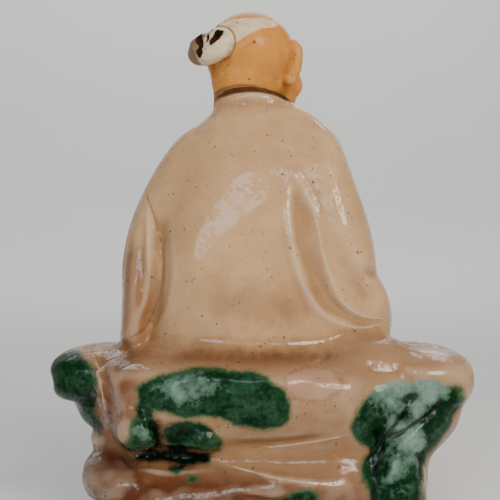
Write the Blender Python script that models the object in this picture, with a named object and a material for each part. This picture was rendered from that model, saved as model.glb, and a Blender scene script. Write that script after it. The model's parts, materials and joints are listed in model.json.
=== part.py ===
"""A seated sage in glazed earthenware on a rock seat, cast as one piece. Metres, +Z up, front towards -Y.

The forms are closed shells of clay that overlap. A voxel remesh fuses them, strokes carve the folds, and a
decimation leaves the faceted solid, which is cut flat below.
"""

import math

import bmesh
import bpy
import numpy as np
from mathutils import Matrix, Vector, noise

# Driving sizes
SEAT_WIDTH = 0.1243  # rock, across its two lobes
SEAT_DEPTH = 0.0825  # rock, front to back
SEAT_HEIGHT = 0.0500  # rock, ground to the top where the robe rests
TORSO_HEIGHT = 0.0740  # seat to the rim of the collar
HEAD_HEIGHT = 0.0300  # chin to crown
HEAD_TURN = 45.0  # degrees towards the sage's right
HEAD_BOW = 12.0  # degrees forward

# Each group of forms is drawn in parts of its own driving size, and one part is a millimetre as cast.
SEAT_PARTS = (124.3, 82.5, 50.0)
TORSO_PARTS = 74.0
HEAD_PARTS = 30.0
HEAD_AT = (2.0, -1.5, 85.3)  # centre of the head above the seat, in torso parts

# Fineness
VOXEL = 0.0008
SMOOTHING = 7
STROKE_SMOOTHING = 3
TRIANGLES = 9200

ROCK = Matrix.Diagonal(
    (SEAT_WIDTH / SEAT_PARTS[0], SEAT_DEPTH / SEAT_PARTS[1], SEAT_HEIGHT / SEAT_PARTS[2], 1.0)
)
TORSO = Matrix.Translation((0.0, 0.0, SEAT_HEIGHT)) @ Matrix.Scale(TORSO_HEIGHT / TORSO_PARTS, 4)
HEAD = (
    Matrix.Translation(TORSO @ Vector(HEAD_AT))
    @ Matrix.Rotation(math.radians(-HEAD_TURN), 4, "Z")
    @ Matrix.Rotation(math.radians(HEAD_BOW), 4, "X")
    @ Matrix.Scale(HEAD_HEIGHT / HEAD_PARTS, 4)
)
BUN = HEAD @ Matrix.Translation((2.4, 15.2, 0.4)) @ Matrix.Rotation(math.radians(-63), 4, "X")

# Clay tools


def smooth_line(points, steps=10):
    """Rows along the smooth curve through the given rows, which may hold any count of numbers."""
    rows = np.array(points, float)
    ends = np.vstack([2 * rows[0] - rows[1], rows, 2 * rows[-1] - rows[-2]])
    made = []
    for a, b, c, d in zip(ends, ends[1:], ends[2:], ends[3:]):
        for t in np.arange(steps) / steps:
            square, cube = 2 * a - 5 * b + 4 * c - d, 3 * b - a - 3 * c + d
            made.append(b + 0.5 * ((c - a) * t + square * t**2 + cube * t**3))
    return np.vstack(made + [rows[-1]])


def shell(clay, frame, rings):
    """A closed shell through rings of points, with flat ends."""
    loops = [[clay.verts.new(frame @ Vector(p)) for p in ring] for ring in rings]
    for low, high in zip(loops, loops[1:]):
        for i in range(len(low)):
            j = (i + 1) % len(low)
            clay.faces.new((low[i], low[j], high[j], high[i]))
    clay.faces.new(loops[0][::-1])
    clay.faces.new(loops[-1])


def ball(clay, frame, at, size, turn=(0, 0, 0), square=2.0):
    """A ball of three half-sizes, turned by degrees about X, Y and Z. A square above 2 makes it boxier."""
    place = Matrix.Translation(at)
    for degrees, axis in zip(turn, "XYZ"):
        place = place @ Matrix.Rotation(math.radians(degrees), 4, axis)
    place = frame @ place @ Matrix.Diagonal((*size, 1.0))
    made = bmesh.ops.create_icosphere(clay, subdivisions=4, radius=1.0)["verts"]
    for vertex in made:
        reach = sum(abs(x) ** square for x in vertex.co) ** (1 / square)
        vertex.co = place @ (vertex.co / reach)


def roll(clay, frame, path, sizes, up=(0, 0, 1), sides=24):
    """A roll of clay along a smooth path. Sizes are half-widths across the path and along up."""
    rows = smooth_line([(*p, *s) for p, s in zip(path, sizes)])
    ways = np.gradient(rows[:, :3], axis=0)
    rings = []
    for row, way in zip(rows, ways):
        ahead = Vector(way).normalized()
        across = Vector(up).cross(ahead).normalized()
        over = ahead.cross(across)
        turns = [2 * math.pi * i / sides for i in range(sides)]
        rings.append(
            [Vector(row[:3]) + across * row[3] * math.cos(t) + over * row[4] * math.sin(t) for t in turns]
        )
    shell(clay, frame, rings)


def slices(clay, frame, rows, square=2.3, sides=64):
    """Level slices: height, reach to the left, right, front and back of the axis, as signed positions."""
    rings = []
    for z, left, right, front, back in smooth_line(rows):
        middle = ((left + right) / 2, (front + back) / 2)
        ring = []
        for i in range(sides):
            c, s = math.cos(2 * math.pi * i / sides), math.sin(2 * math.pi * i / sides)
            x = math.copysign(abs(c) ** (2 / square), c) * (left - right) / 2
            y = math.copysign(abs(s) ** (2 / square), s) * (back - front) / 2
            ring.append((middle[0] + x, middle[1] + y, z))
        rings.append(ring)
    shell(clay, frame, rings)


# Rock seat, in rock parts


def rock(clay):
    slices(
        clay,
        ROCK,
        [
            (-6, 36, -42, -34, 35),
            (2, 41, -44, -37, 38),
            (10, 45, -45, -38, 40),
            (17, 45, -45, -36, 38),
            (22, 44, -45, -34, 35),
            (27, 46, -46, -34, 37),
            (34, 49, -48, -34, 40),
            (41, 49, -47, -33, 40),
            (46, 44, -42, -32, 36),
            (49.5, 34, -36, -30, 30),
        ],
        square=3.0,
    )
    # slab that carries the robe
    roll(clay, ROCK, [(40, 13, 41), (20, 22, 42.5), (-8, 23, 41.5), (-38, 14, 41)], [(17, 6.5)] * 4)
    roll(clay, ROCK, [(34, 22, 34), (14, 26, 34.5), (-30, 22, 33)], [(14, 8), (14, 8), (14, 9)])
    ball(clay, ROCK, (-29, 17, 46), (17, 14, 8))
    # left lobe and its tail
    ball(clay, ROCK, (46.5, 1, 41.2), (15.8, 21, 8.4), turn=(0, 4, 0), square=2.9)
    ball(clay, ROCK, (45.5, 2, 33), (9.5, 17, 11.5), turn=(0, 36, 0))
    ball(clay, ROCK, (43, 3, 24), (7.5, 17, 9))
    # right lobe and the column under it
    ball(clay, ROCK, (-45, 6, 40.6), (17, 25, 9.2), turn=(0, -1, 0), square=3.1)
    column = [(-45.5, 8, 38), (-43.5, 10, 31), (-39, 12, 22), (-36.5, 13, 12), (-36, 13, 3), (-35, 13, -6)]
    roll(clay, ROCK, column, [(15, 22), (14.5, 22), (11.5, 23), (12, 25), (12, 25), (10, 22)], up=(0, 1, 0))
    # lower tier
    ball(clay, ROCK, (35.5, 9, 12.8), (15.8, 27, 8.6), square=2.4)
    ball(clay, ROCK, (4, 24, 11), (38, 17, 9), turn=(0, 3, 0), square=2.6)
    # knobs at the back
    ball(clay, ROCK, (32.5, 34.5, 28.8), (6.4, 6, 5.8))
    ball(clay, ROCK, (16, 35, 27), (6, 5, 3.6))
    # boulders at the front
    ball(clay, ROCK, (27, -25.4, 18), (18, 14, 14), turn=(0, 14, 22), square=3.0)
    ball(clay, ROCK, (-29, -26, 20), (18, 14, 12), turn=(6, -12, -20), square=3.0)
    ball(clay, ROCK, (-6, -31.8, 9), (17, 9, 9), turn=(0, -8, 6), square=2.8)
    ball(clay, ROCK, (19, -31.6, 4), (15, 9, 7), turn=(0, 4, -8), square=2.6)
    ball(clay, ROCK, (-34, -25, 6), (12, 13, 9), turn=(0, 0, -18), square=2.8)


# Robe, arms and lap, in torso parts above the seat


def torso(clay):
    slices(
        clay,
        TORSO,
        [
            (-6, 37, -35, -30, 27),
            (4, 36, -35, -29, 28),
            (14, 35.5, -33.5, -23, 27.5),
            (24, 35, -31.5, -19, 27),
            (34, 32.5, -29.5, -17, 26),
            (44, 29.5, -27.5, -15.5, 24),
            (52, 27, -25.5, -14, 21.5),
            (58, 25, -24.5, -12.5, 19),
            (63, 21, -22, -11, 17),
            (68, 16, -17.5, -9.5, 14),
            (70.6, 13.6, -12.6, -9, 12.4),
            (72.2, 12, -9.5, -8.8, 11.2),
        ],
    )
    # shoulders
    ball(clay, TORSO, (17, 1, 55.5), (11.5, 12, 10.5), turn=(0, 30, 0))
    ball(clay, TORSO, (-15.4, 4, 57.2), (10.2, 12, 10), turn=(0, -25, 0))
    ball(clay, TORSO, (-30, 10, 12.5), (8.6, 11, 9))
    ball(clay, TORSO, (-28.4, 9, 18), (6.8, 12, 10), turn=(0, 24, 0))
    # rim of the robe round the neck
    rim = [(12.8, -2, 70.6), (11.6, 6, 71.8), (7, 10.8, 72.6), (1, 12.0, 72.8), (-5, 10.0, 71.8)]
    rim += [(-8.6, 4, 70.0), (-9.4, -3, 68.8)]
    roll(clay, TORSO, rim, [(1.1, 1.2)] * 7)
    # crossed lapels
    lapel = [(3.2, 2.2), (3.6, 2.2), (4, 2.2), (4, 2.4), (3.6, 2.4)]
    over = [(13, -3, 70), (11.5, -9, 64), (6, -14, 52), (-3, -17, 38), (-12, -19.5, 24)]
    under = [(-9.5, -3, 71), (-8.5, -9, 65), (-4, -13, 54), (3, -15.4, 42), (9, -18, 26)]
    for path in (over, under):
        roll(clay, TORSO, path, lapel, up=(0, 1, 0.3))


def arm(clay, side):
    """A sleeved arm: shoulder to elbow, the wide sleeve down to the seat, and the forearm to the lap."""
    if side > 0:
        upper = [(19.5, 1, 57), (25.2, 3, 47), (30, 4, 36), (32.6, 4, 24), (34.6, 5, 12), (37.2, 5, 0)]
        widths = [(8, 11), (8.5, 12), (8.5, 13), (8.6, 14), (6.8, 14), (4.6, 14)]
        lower = [(33, 2, 24), (30, -10, 20), (22, -20, 17), (12, -27, 15)]
        drape = [(34, 6, 9), (34, -4, 8), (29, -16, 8), (21, -24.5, 9), (13, -29, 10)]
    else:
        upper = [(-16.5, 6, 58), (-18.6, 9, 49), (-21.4, 10, 37), (-23.8, 11, 25), (-25, 10, 17)]
        upper.append((-28, 12, 9))
        widths = [(8, 11), (9, 13), (10, 15), (10.5, 14.5), (9, 12), (9, 10)]
        lower = [(-26.5, 5, 23), (-26, -8, 20), (-19, -19, 18), (-9, -27, 17)]
        drape = [(-31, 13, 7), (-33.5, 2, 8), (-29, -15, 8.5), (-19.5, -24.5, 10), (-10.5, -29, 11)]
    roll(clay, TORSO, upper, widths, up=(0, 1, 0))
    roll(clay, TORSO, lower, [(7.5, 8), (7.5, 8), (7, 7.5), (5.5, 6.5)])
    roll(clay, TORSO, drape, [(6.5, 10), (6.5, 11), (6, 11), (5, 10), (3.5, 9)])


def arms(clay):
    for side in (1, -1):
        arm(clay, side)


def lap(clay):
    """Crossed legs under the robe, and its hem over the front of the rock."""
    ball(clay, TORSO, (1, -12, 3), (38, 25, 9.5), square=2.3)
    for side in (1, -1):
        knee = (25 * side + 1, -19, 3.5)
        ball(clay, TORSO, knee, (15.5, 16, 9.6), turn=(0, 0, 24 * side), square=2.2)
    shin = [(27, -23, 2), (10, -32, 1.5), (-10, -33.4, -1), (-24, -29, -3)]
    roll(clay, TORSO, shin, [(7, 6), (8, 7.5), (7.5, 7), (5, 5)])
    roll(clay, TORSO, [(-27, -23, 3), (-12, -30.5, 3.5), (4, -32, 3)], [(7, 6.5), (7.5, 7.5), (6, 6)])
    ball(clay, TORSO, (1, -30, -7), (24, 10, 12), square=2.6)


def hands(clay):
    """The right hand resting on the left."""
    ball(clay, TORSO, (4.5, -30.5, 13.2), (8.6, 4.6, 3.0), turn=(0, 6, 10))
    ball(clay, TORSO, (-2.0, -31.0, 16.6), (8.4, 4.6, 3.0), turn=(0, -6, -10))
    thumb = [(5.5, -33.0, 14.5), (3.2, -34.2, 17.2), (0.8, -34.4, 18.6)]
    roll(clay, TORSO, thumb, [(1.6, 1.6), (1.5, 1.5), (1.3, 1.3)])


def collar(clay):
    """Inner collar round the neck, and what fills it."""
    collar_rim(clay)
    ball(clay, TORSO, (2, 0.5, 69), (10.6, 10.2, 4.2))


def collar_rim(clay):
    ring = [(11.0 * math.cos(t), 10.4 * math.sin(t)) for t in np.linspace(0, 2 * math.pi, 25)]
    path = [(2 + x, 0.5 + y, 72.2 + 0.24 * y + 0.08 * x) for x, y in ring]
    roll(clay, TORSO, path, [(1.3, 1.6)] * len(path))


# Head, in head parts from its centre


def face_forms(clay):
    ball(clay, HEAD, (0, 1.2, 1.4), (13.3, 14.2, 13.4))
    ball(clay, HEAD, (0, -4.4, -2.0), (12.2, 11.2, 11.6))
    # jaw and chin
    ball(clay, HEAD, (0, -8.4, -7.6), (9.8, 7.9, 7.2))
    ball(clay, HEAD, (0, -12.6, -11.8), (4.6, 3.8, 3.4))
    for side in (1, -1):
        ball(clay, HEAD, (6.2 * side, -10.6, -4.4), (4.4, 4.2, 4.4))
        ball(clay, HEAD, (4.8 * side, -13.1, -0.2), (2.9, 2.2, 1.9))
    # nose
    bridge = [(0, -14.6, 2), (0, -16.2, -1.6), (0, -17.2, -4.4)]
    roll(clay, HEAD, bridge, [(1.3, 1.5), (1.5, 1.8), (2.2, 2.0)])
    for side in (1, -1):
        ball(clay, HEAD, (1.9 * side, -16.0, -4.8), (1.4, 1.6, 1.2))
    # lips
    ball(clay, HEAD, (0, -15.0, -8.6), (3.2, 1.8, 1.3))
    # neck
    neck = [(0, 0.5, -18), (0, 0.9, -11), (0, 1.6, -6), (0, 2, -2)]
    roll(clay, HEAD, neck, [(9.2, 9.2), (9.8, 9.9), (10.8, 11.2), (11.4, 12)], up=(0, 1, 0))


def brows(clay):
    for side in (1, -1):
        brow = [(1.8 * side, -14.9, 2.4), (5.4 * side, -14.0, 3.6), (9.8 * side, -10.4, 2.2)]
        roll(clay, HEAD, brow, [(0.9, 1.0), (1.1, 1.1), (0.7, 0.7)])


def ears(clay):
    for side in (1, -1):
        ear(clay, side)


def ear(clay, side):
    """A long ear, smooth behind, with a rolled rim in front and a heavy lobe."""
    x = 12.0 * side
    slab = [(-0.8, -1.8, 5.0), (1.2, -2.4, 4.0), (2.3, -3.2, 0.6), (1.7, -3.8, -3.2), (0.9, -4.0, -5.6)]
    slab = [(x + out * side, y, z) for out, y, z in slab]
    roll(clay, HEAD, slab, [(1.2, 1.2), (2.6, 1.6), (2.8, 1.5), (2.2, 1.6), (1.4, 1.5)], up=(0, 1, 0))
    ball(clay, HEAD, (x + 1.0 * side, -4.0, -5.4), (2.0, 1.9, 2.2), turn=(0, 14 * side, 0))
    ball(clay, HEAD, (x - 1.0 * side, -1.8, 1.8), (2.8, 3.0, 4.0))
    rim = [(0, -3.4, 4.2), (2.2, -3.9, 4.8), (3.6, -4.3, 2.0), (3.2, -4.8, -3.4)]
    rim = [(x + out * side, y, z) for out, y, z in rim]
    roll(clay, HEAD, rim, [(0.9, 0.9)] * 4, up=(0, 1, 0), sides=12)


def bun(clay):
    """A flat coil of hair at the back of the head, filled almost to its rim."""
    turns = np.linspace(0, 2 * math.pi, 33)
    coil = [(5.9 * math.cos(t), 0.8 + 4.0 * math.sin(t), 0.0) for t in turns]
    roll(clay, BUN, coil, [(2.6, 2.9)] * len(coil))
    ball(clay, BUN, (0, 0.8, 0), (6.6, 5.2, 2.3))


def beard(clay):
    roll(
        clay,
        HEAD,
        [(0, -13.0, -11.0), (0, -16.6, -15.5), (0, -19.6, -21), (0, -21.4, -27), (0.4, -22, -33)],
        [(5.4, 3.2), (6.4, 3.2), (6.0, 3.0), (4.4, 2.6), (1.4, 1.2)],
        up=(0, 1, 0),
    )
    for side in (1, -1):
        roll(
            clay,
            HEAD,
            [(0.9 * side, -16.3, -6.8), (3.8 * side, -15.6, -8.0), (5.8 * side, -14.6, -12.4)],
            [(0.8, 0.8), (1.1, 1.0), (0.7, 0.7)],
            up=(0, 1, 0),
        )


# Strokes carved along the surface. Each is drawn in a frame's parts as seen square on from one side.

CREST = [(-8.3, 47), (-8, 36.6), (-10, 24.8), (-12.5, 17.8), (-15.6, 11.4), (-23, 7.5), (-32, 4)]
VALLEY = [(-9.8, 46), (-11, 36), (-13.4, 25.5), (-16.2, 18), (-19.8, 12.2), (-26, 8.6)]
RIDGE = [(-7.7, 51.7), (-13.3, 42.5), (-16, 36.6), (-18, 26), (-21, 18), (-25, 12.5), (-34, 7)]
STROKES = [
    # frame, side it is seen from, path, half-width, height
    # sleeves from behind
    (TORSO, "behind", [(31, 45), (28.7, 31), (28.1, 22), (29.4, 13.6), (32, 7.6), (35, 4.4)], 2.1, -1.4),
    (TORSO, "behind", [(32, 42), (34, 28), (34.5, 17), (35.2, 8)], 1.4, -0.7),
    (TORSO, "behind", CREST, 1.1, 0.7),
    (TORSO, "behind", VALLEY, 2.1, -1.3),
    (TORSO, "behind", RIDGE, 1.8, 0.8),
    (TORSO, "behind", [(-21.7, 31), (-24.8, 22.6), (-28.7, 17), (-34, 12)], 2.2, -1.0),
    (TORSO, "behind", [(-37, 21.5), (-33, 21), (-29, 22)], 1.4, -0.8),
    # folds on the chest and over the lap
    (TORSO, "before", [(22, 52), (21, 42), (19, 32), (14, 24)], 2.0, -1.0),
    (TORSO, "before", [(-20, 50), (-19, 40), (-16, 31), (-11, 25)], 2.0, -1.0),
    (TORSO, "before", [(30, 21), (25, 12), (19, 6)], 1.6, -0.9),
    (TORSO, "before", [(-28, 22), (-23, 13), (-17, 7)], 1.6, -0.9),
    (TORSO, "before", [(12, -2), (13, -9), (11, -16)], 1.8, -1.0),
    (TORSO, "before", [(-6, -3), (-7, -10), (-5, -17)], 1.8, -1.0),
    (TORSO, "left", [(2, 50), (-2, 38), (-3, 26)], 2.0, -0.8),
    (TORSO, "right", [(2, 48), (-2, 38), (-6, 27)], 2.0, -0.8),
    # clefts of the rock
    (ROCK, "behind", [(46, 48), (43.5, 42), (41, 34), (41, 27)], 2.0, -1.2),
    (ROCK, "behind", [(-32, 47), (-30.5, 42), (-29, 36), (-28, 29)], 3.4, -0.9),
    (ROCK, "behind", [(36, 22.0), (26, 21.4), (14, 22.5)], 2.2, -3.4),
    (ROCK, "behind", [(11, 25), (-4, 25.5), (-20, 27)], 1.4, -1.2),
    (ROCK, "behind", [(28.5, 33), (27, 29), (28.5, 25)], 1.0, -1.2),
    (ROCK, "left", [(-18, 44), (-8, 38), (6, 37), (18, 42)], 2.0, -1.2),
    (ROCK, "right", [(-16, 36), (-2, 34), (14, 38), (26, 34)], 2.0, -1.2),
    (ROCK, "right", [(6, 30), (10, 20), (6, 10), (8, 2)], 2.4, -1.6),
    # eye sockets and the line under each cheek
    (HEAD, "before", [(2.4, 0.6), (5, 1.2), (7.8, 0.4)], 1.0, -0.7),
    (HEAD, "before", [(-2.4, 0.6), (-5, 1.2), (-7.8, 0.4)], 1.0, -0.7),
    (HEAD, "before", [(2.4, -1.9), (5, -2.5), (7.6, -1.8)], 0.9, -0.5),
    (HEAD, "before", [(-2.4, -1.9), (-5, -2.5), (-7.6, -1.8)], 0.9, -0.5),
]


def axes_of(side):
    """The axes across, up and in depth of a view, and which way along the last it looks from."""
    return {"behind": (0, 2, 1, 1), "before": (0, 2, 1, -1), "left": (1, 2, 0, 1), "right": (1, 2, 0, -1)}[side]


def inside(frame, points):
    """The points in a frame's own parts."""
    inward = np.array(frame.inverted())
    return points @ inward[:3, :3].T + inward[:3, 3]


def seen_along(points, normals, frame, side, path, reach):
    """The points near a path as seen from one side, their gap to it, the share along it and how they face."""
    across, up, depth, sign = axes_of(side)
    turned = normals @ np.array(frame)[:3, :3]
    facing = sign * turned[:, depth] / np.maximum(np.linalg.norm(turned, axis=1), 1e-12)
    line = smooth_line(path)
    seen = inside(frame, points)[:, (across, up)]
    near = ((seen > line.min(0) - reach) & (seen < line.max(0) + reach)).all(1) & (facing > 0)
    seen = seen[near]
    best = np.full(len(seen), np.inf)
    along = np.zeros(len(seen))
    for i, (a, b) in enumerate(zip(line, line[1:])):
        way = b - a
        t = np.clip((seen - a) @ way / max(way @ way, 1e-12), 0, 1)
        off = seen - a - t[:, None] * way
        gap = np.linalg.norm(off, axis=1)
        closer = gap < best
        best[closer], along[closer] = gap[closer], (i + t[closer]) / (len(line) - 1)
    return near, best, along, facing[near]


def carve(points, normals, frame, side, path, half_width, height):
    """Moves the points near a path, as seen from one side, along their normals. Both ends fade."""
    reach = 1.8 * half_width
    near, gap, along, facing = seen_along(points, normals, frame, side, path, reach)
    bell = np.clip(1 - (gap / reach) ** 2, 0, 1) ** 2
    fade = np.clip(4 * np.minimum(along, 1 - along) + 0.12, 0, 1)
    push = frame.to_scale()[axes_of(side)[2]] * height * bell * fade * np.clip(facing * 2, 0, 1)
    points[near] += normals[near] * push[:, None]


# Fusing, carving and cutting


def evaluated(body):
    """The object's mesh with its modifiers applied."""
    graph = bpy.context.evaluated_depsgraph_get()
    return bpy.data.meshes.new_from_object(body.evaluated_get(graph))


def fuse(body):
    """One skin over all the overlapping shells, softened as a thick glaze softens it."""
    remesh = body.modifiers.new("Fuse", "REMESH")
    remesh.mode = "VOXEL"
    remesh.voxel_size = VOXEL
    soften = body.modifiers.new("Soften", "SMOOTH")
    soften.iterations = SMOOTHING
    soften.factor = 0.5
    body.data = evaluated(body)
    body.modifiers.clear()


def surface_of(mesh):
    """Points and normals of a mesh as two arrays."""
    points = np.empty(len(mesh.vertices) * 3)
    normals = np.empty_like(points)
    mesh.vertices.foreach_get("co", points)
    mesh.vertices.foreach_get("normal", normals)
    return points.reshape(-1, 3), normals.reshape(-1, 3)


def neighbours(mesh):
    """A function that averages a value per point over the points joined to it."""
    pairs = np.empty(len(mesh.edges) * 2, np.int64)
    mesh.edges.foreach_get("vertices", pairs)
    a, b = pairs.reshape(-1, 2).T
    total = len(mesh.vertices)
    count = np.maximum(np.bincount(a, minlength=total) + np.bincount(b, minlength=total), 1)

    def average(points):
        sums = [
            np.bincount(a, points[b, axis], total) + np.bincount(b, points[a, axis], total) for axis in range(3)
        ]
        return np.stack(sums, 1) / count[:, None]

    return average


def ease(body):
    """Lets the shoulders run into the back, and the hem at the back into the rock."""
    mesh = body.data
    points, _ = surface_of(mesh)
    average = neighbours(mesh)
    part = inside(TORSO, points)
    high = np.clip((part[:, 2] - 34) / 12, 0, 1) * np.clip((70 - part[:, 2]) / 3, 0, 1)
    high *= np.clip((part[:, 1] + 10) / 8, 0, 1)
    hem = np.clip(1 - np.abs(part[:, 2] + 0.5) / 4, 0, 1) * np.clip((part[:, 1] - 12) / 6, 0, 1)
    elbow = np.clip(1.6 - np.linalg.norm((part - (-29, 14, 16)) / (10, 14, 14), axis=1), 0, 1)
    share = 0.6 * np.maximum.reduce([high, hem, elbow])[:, None]
    for _ in range(70):
        points += share * (average(points) - points)
    mesh.vertices.foreach_set("co", points.ravel())
    mesh.update()


def weather(points, normals):
    """Slow lumps over the rock, and none on the figure."""
    share = np.clip((SEAT_HEIGHT - points[:, 2]) / (0.1 * SEAT_HEIGHT), 0, 1)
    lumps = np.array([noise.noise(Vector(p) * 70.0) for p in points])
    points += normals * (0.0009 * lumps * share)[:, None]


def carve_all(body):
    mesh = body.data
    points, normals = surface_of(mesh)
    weather(points, normals)
    for stroke in STROKES:
        carve(points, normals, *stroke)
    mesh.vertices.foreach_set("co", points.ravel())
    mesh.update()


def thin_out(body):
    soften = body.modifiers.new("Soften", "SMOOTH")
    soften.iterations = STROKE_SMOOTHING
    soften.factor = 0.5
    thin = body.modifiers.new("Facets", "DECIMATE")
    faces = sum(len(p.vertices) - 2 for p in body.data.polygons)
    thin.ratio = min(1.0, TRIANGLES / faces)
    body.data = evaluated(body)
    body.modifiers.clear()


def cut_flat(body):
    """Cuts the foot flat at the ground and closes it."""
    skin = bmesh.new()
    skin.from_mesh(body.data)
    whole = skin.verts[:] + skin.edges[:] + skin.faces[:]
    ground = {"plane_co": (0, 0, 0), "plane_no": (0, 0, 1)}
    cut = bmesh.ops.bisect_plane(skin, geom=whole, clear_inner=True, **ground)
    rim = [e for e in cut["geom_cut"] if isinstance(e, bmesh.types.BMEdge)]
    bmesh.ops.holes_fill(skin, edges=rim)
    bmesh.ops.triangulate(skin, faces=[f for f in skin.faces if len(f.verts) > 4])
    skin.to_mesh(body.data)
    skin.free()


def glaze():
    material = bpy.data.materials.new("cream_glaze")
    material.use_nodes = True
    surface = material.node_tree.nodes["Principled BSDF"]
    surface.inputs["Base Color"].default_value = (0.53, 0.38, 0.24, 1.0)
    surface.inputs["Roughness"].default_value = 0.18
    surface.inputs["Metallic"].default_value = 0.0
    return material


def main():
    for old in list(bpy.data.objects):
        bpy.data.objects.remove(old)
    clay = bmesh.new()
    for form in (rock, torso, lap, hands, collar, arms, face_forms, ears, brows, bun, beard):
        form(clay)
    bmesh.ops.recalc_face_normals(clay, faces=clay.faces[:])
    mesh = bpy.data.meshes.new("monk_figurine")
    clay.to_mesh(mesh)
    clay.free()
    body = bpy.data.objects.new("monk_figurine", mesh)
    bpy.context.collection.objects.link(body)
    fuse(body)
    ease(body)
    carve_all(body)
    thin_out(body)
    cut_flat(body)
    body.data.materials.clear()
    body.data.materials.append(glaze())
    body.data.shade_smooth()


if __name__ == "__main__":
    main()
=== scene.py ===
"""A seated sage in glazed earthenware on a rock seat, in a plain studio. Metres, +Z up, front towards -Y."""

import json
import math

import bmesh
import bpy
import numpy as np
from bpy.props import FloatProperty, FloatVectorProperty, PointerProperty
from mathutils import Matrix, Quaternion, Vector, noise
from mathutils.bvhtree import BVHTree

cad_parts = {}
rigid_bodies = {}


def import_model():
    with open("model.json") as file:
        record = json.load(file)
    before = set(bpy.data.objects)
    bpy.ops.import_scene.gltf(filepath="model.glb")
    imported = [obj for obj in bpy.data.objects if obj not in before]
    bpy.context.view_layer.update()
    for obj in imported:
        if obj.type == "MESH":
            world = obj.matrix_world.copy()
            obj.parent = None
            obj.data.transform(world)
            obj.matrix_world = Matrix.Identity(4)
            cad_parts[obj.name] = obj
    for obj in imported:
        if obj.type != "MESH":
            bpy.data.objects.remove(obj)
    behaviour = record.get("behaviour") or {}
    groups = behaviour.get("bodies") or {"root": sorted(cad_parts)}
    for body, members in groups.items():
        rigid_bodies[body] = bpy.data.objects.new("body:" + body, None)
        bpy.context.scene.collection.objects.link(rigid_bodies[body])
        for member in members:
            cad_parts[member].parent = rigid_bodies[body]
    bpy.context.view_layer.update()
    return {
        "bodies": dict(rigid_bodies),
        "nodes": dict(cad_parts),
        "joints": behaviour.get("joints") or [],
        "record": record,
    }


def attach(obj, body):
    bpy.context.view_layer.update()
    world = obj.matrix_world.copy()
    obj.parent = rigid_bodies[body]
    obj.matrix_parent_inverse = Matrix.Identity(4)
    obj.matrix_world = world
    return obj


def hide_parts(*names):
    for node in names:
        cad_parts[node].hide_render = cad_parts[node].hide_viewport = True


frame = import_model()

bl_info = {
    "name": "Glazed Sage",
    "version": (1, 0, 0),
    "blender": (4, 5, 0),
    "location": "3D View > Sidebar > Sage",
    "description": "A seated sage in splashed earthenware glaze, and a plain studio to look at it in",
    "category": "Object",
}

NODE = "monk_figurine"
MM = 0.001

# Each group of forms is drawn in parts of its own driving size, and one part is a millimetre as cast
SEAT_PARTS = (124.3, 82.5, 50.0)
TORSO_PARTS = 74.0
HEAD_PARTS = 30.0
HEAD_AT = (2.0, -1.5, 85.3)
BODY_SMOOTHING, HEAD_SMOOTHING = 7, 6
SKULL_AT = (0, 1.2, 1.4)
BUN_AT = (2.4, 15.2, 0.4)
BUN_TILT = math.radians(-63)

# The photographed view, and the plane behind the figure's middle that the splashes' outlines are drawn on
CAMERA_AT = (0.0029, 0.300, 0.0779)
CAMERA_TURN = (math.radians(90), 0, math.radians(180))
LENS, SENSOR = 70.7, 36.0
DRAWN_ON = 0.03

# Glaze maps say how far inside a patch a point is, in millimetres, and no more than this either way
FAR = 9.0


def paint(red, green, blue):
    """A colour picked on a screen, from 0 to 255, as the linear colour that a shader takes."""
    # both numbers of each branch are the screen's own curve
    return tuple((c / 3294.6 if c < 11 else ((c / 255 + 0.055) / 1.055) ** 2.4) for c in (red, green, blue))


SMALLEST = 0.0001


def length(name, description, default):
    return FloatProperty(
        name=name, description=description, default=default, min=SMALLEST, unit="LENGTH", precision=4
    )


def angle(name, description, degrees):
    return FloatProperty(name=name, description=description, default=math.radians(degrees), unit="ROTATION")


def power(name, description, default):
    return FloatProperty(name=name, description=description, default=default, unit="POWER")


def colour(name, description, default):
    return FloatVectorProperty(
        name=name, description=description, default=default, size=3, min=0.0, max=1.0, subtype="COLOR"
    )


class SageSizes(bpy.types.PropertyGroup):
    seat_width: length("Seat width", "Rock, across its two lobes", 0.1243)
    seat_depth: length("Seat depth", "Rock, front to back", 0.0825)
    seat_height: length("Seat height", "Rock, from the ground to where the robe rests", 0.0500)
    torso_height: length("Torso height", "Seat to the rim of the collar", 0.0740)
    head_height: length("Head height", "Chin to crown", 0.0300)
    head_turn: angle("Head turn", "Towards the sage's right", 45)
    head_bow: angle("Head bow", "Forward", 12)
    body_grain: length("Body grain", "Step of the skin over robe and rock", 0.00085)
    head_grain: length("Head grain", "Step of the skin over head and beard", 0.00044)


class SageGlazes(bpy.types.PropertyGroup):
    cream: colour("Cream", "Thick glaze on the robe", paint(205, 163, 117))
    buff: colour("Buff", "Browner glaze on the rock", paint(157, 116, 85))
    ochre: colour("Ochre", "Where the cream pools in a fold", paint(134, 94, 54))
    skin: colour("Skin", "Amber glaze on head and hands", paint(213, 145, 68))
    white: colour("White", "Hair, brows and beard", paint(230, 207, 166))
    brown: colour("Brown", "Inner collar", paint(68, 40, 24))
    green: colour("Green", "Splashes where they are thick", paint(6, 40, 16))
    thin_green: colour("Thin green", "Splashes where they are thin", paint(64, 92, 58))
    clay: colour("Clay", "Bare fired clay on the foot", paint(170, 136, 106))


class SageStudio(bpy.types.PropertyGroup):
    floor: colour("Floor", "Seamless paper under and behind the figure", (0.86, 0.85, 0.83))
    key: power("Key", "Lamp high on the photographed side", 2.5)
    window: power("Window", "Wide soft light behind the camera", 9.6)
    fill: power("Fill", "Soft light on the far side", 2.4)
    overhead: power("Overhead", "Broad light for the floor and what is behind", 25.0)


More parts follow.
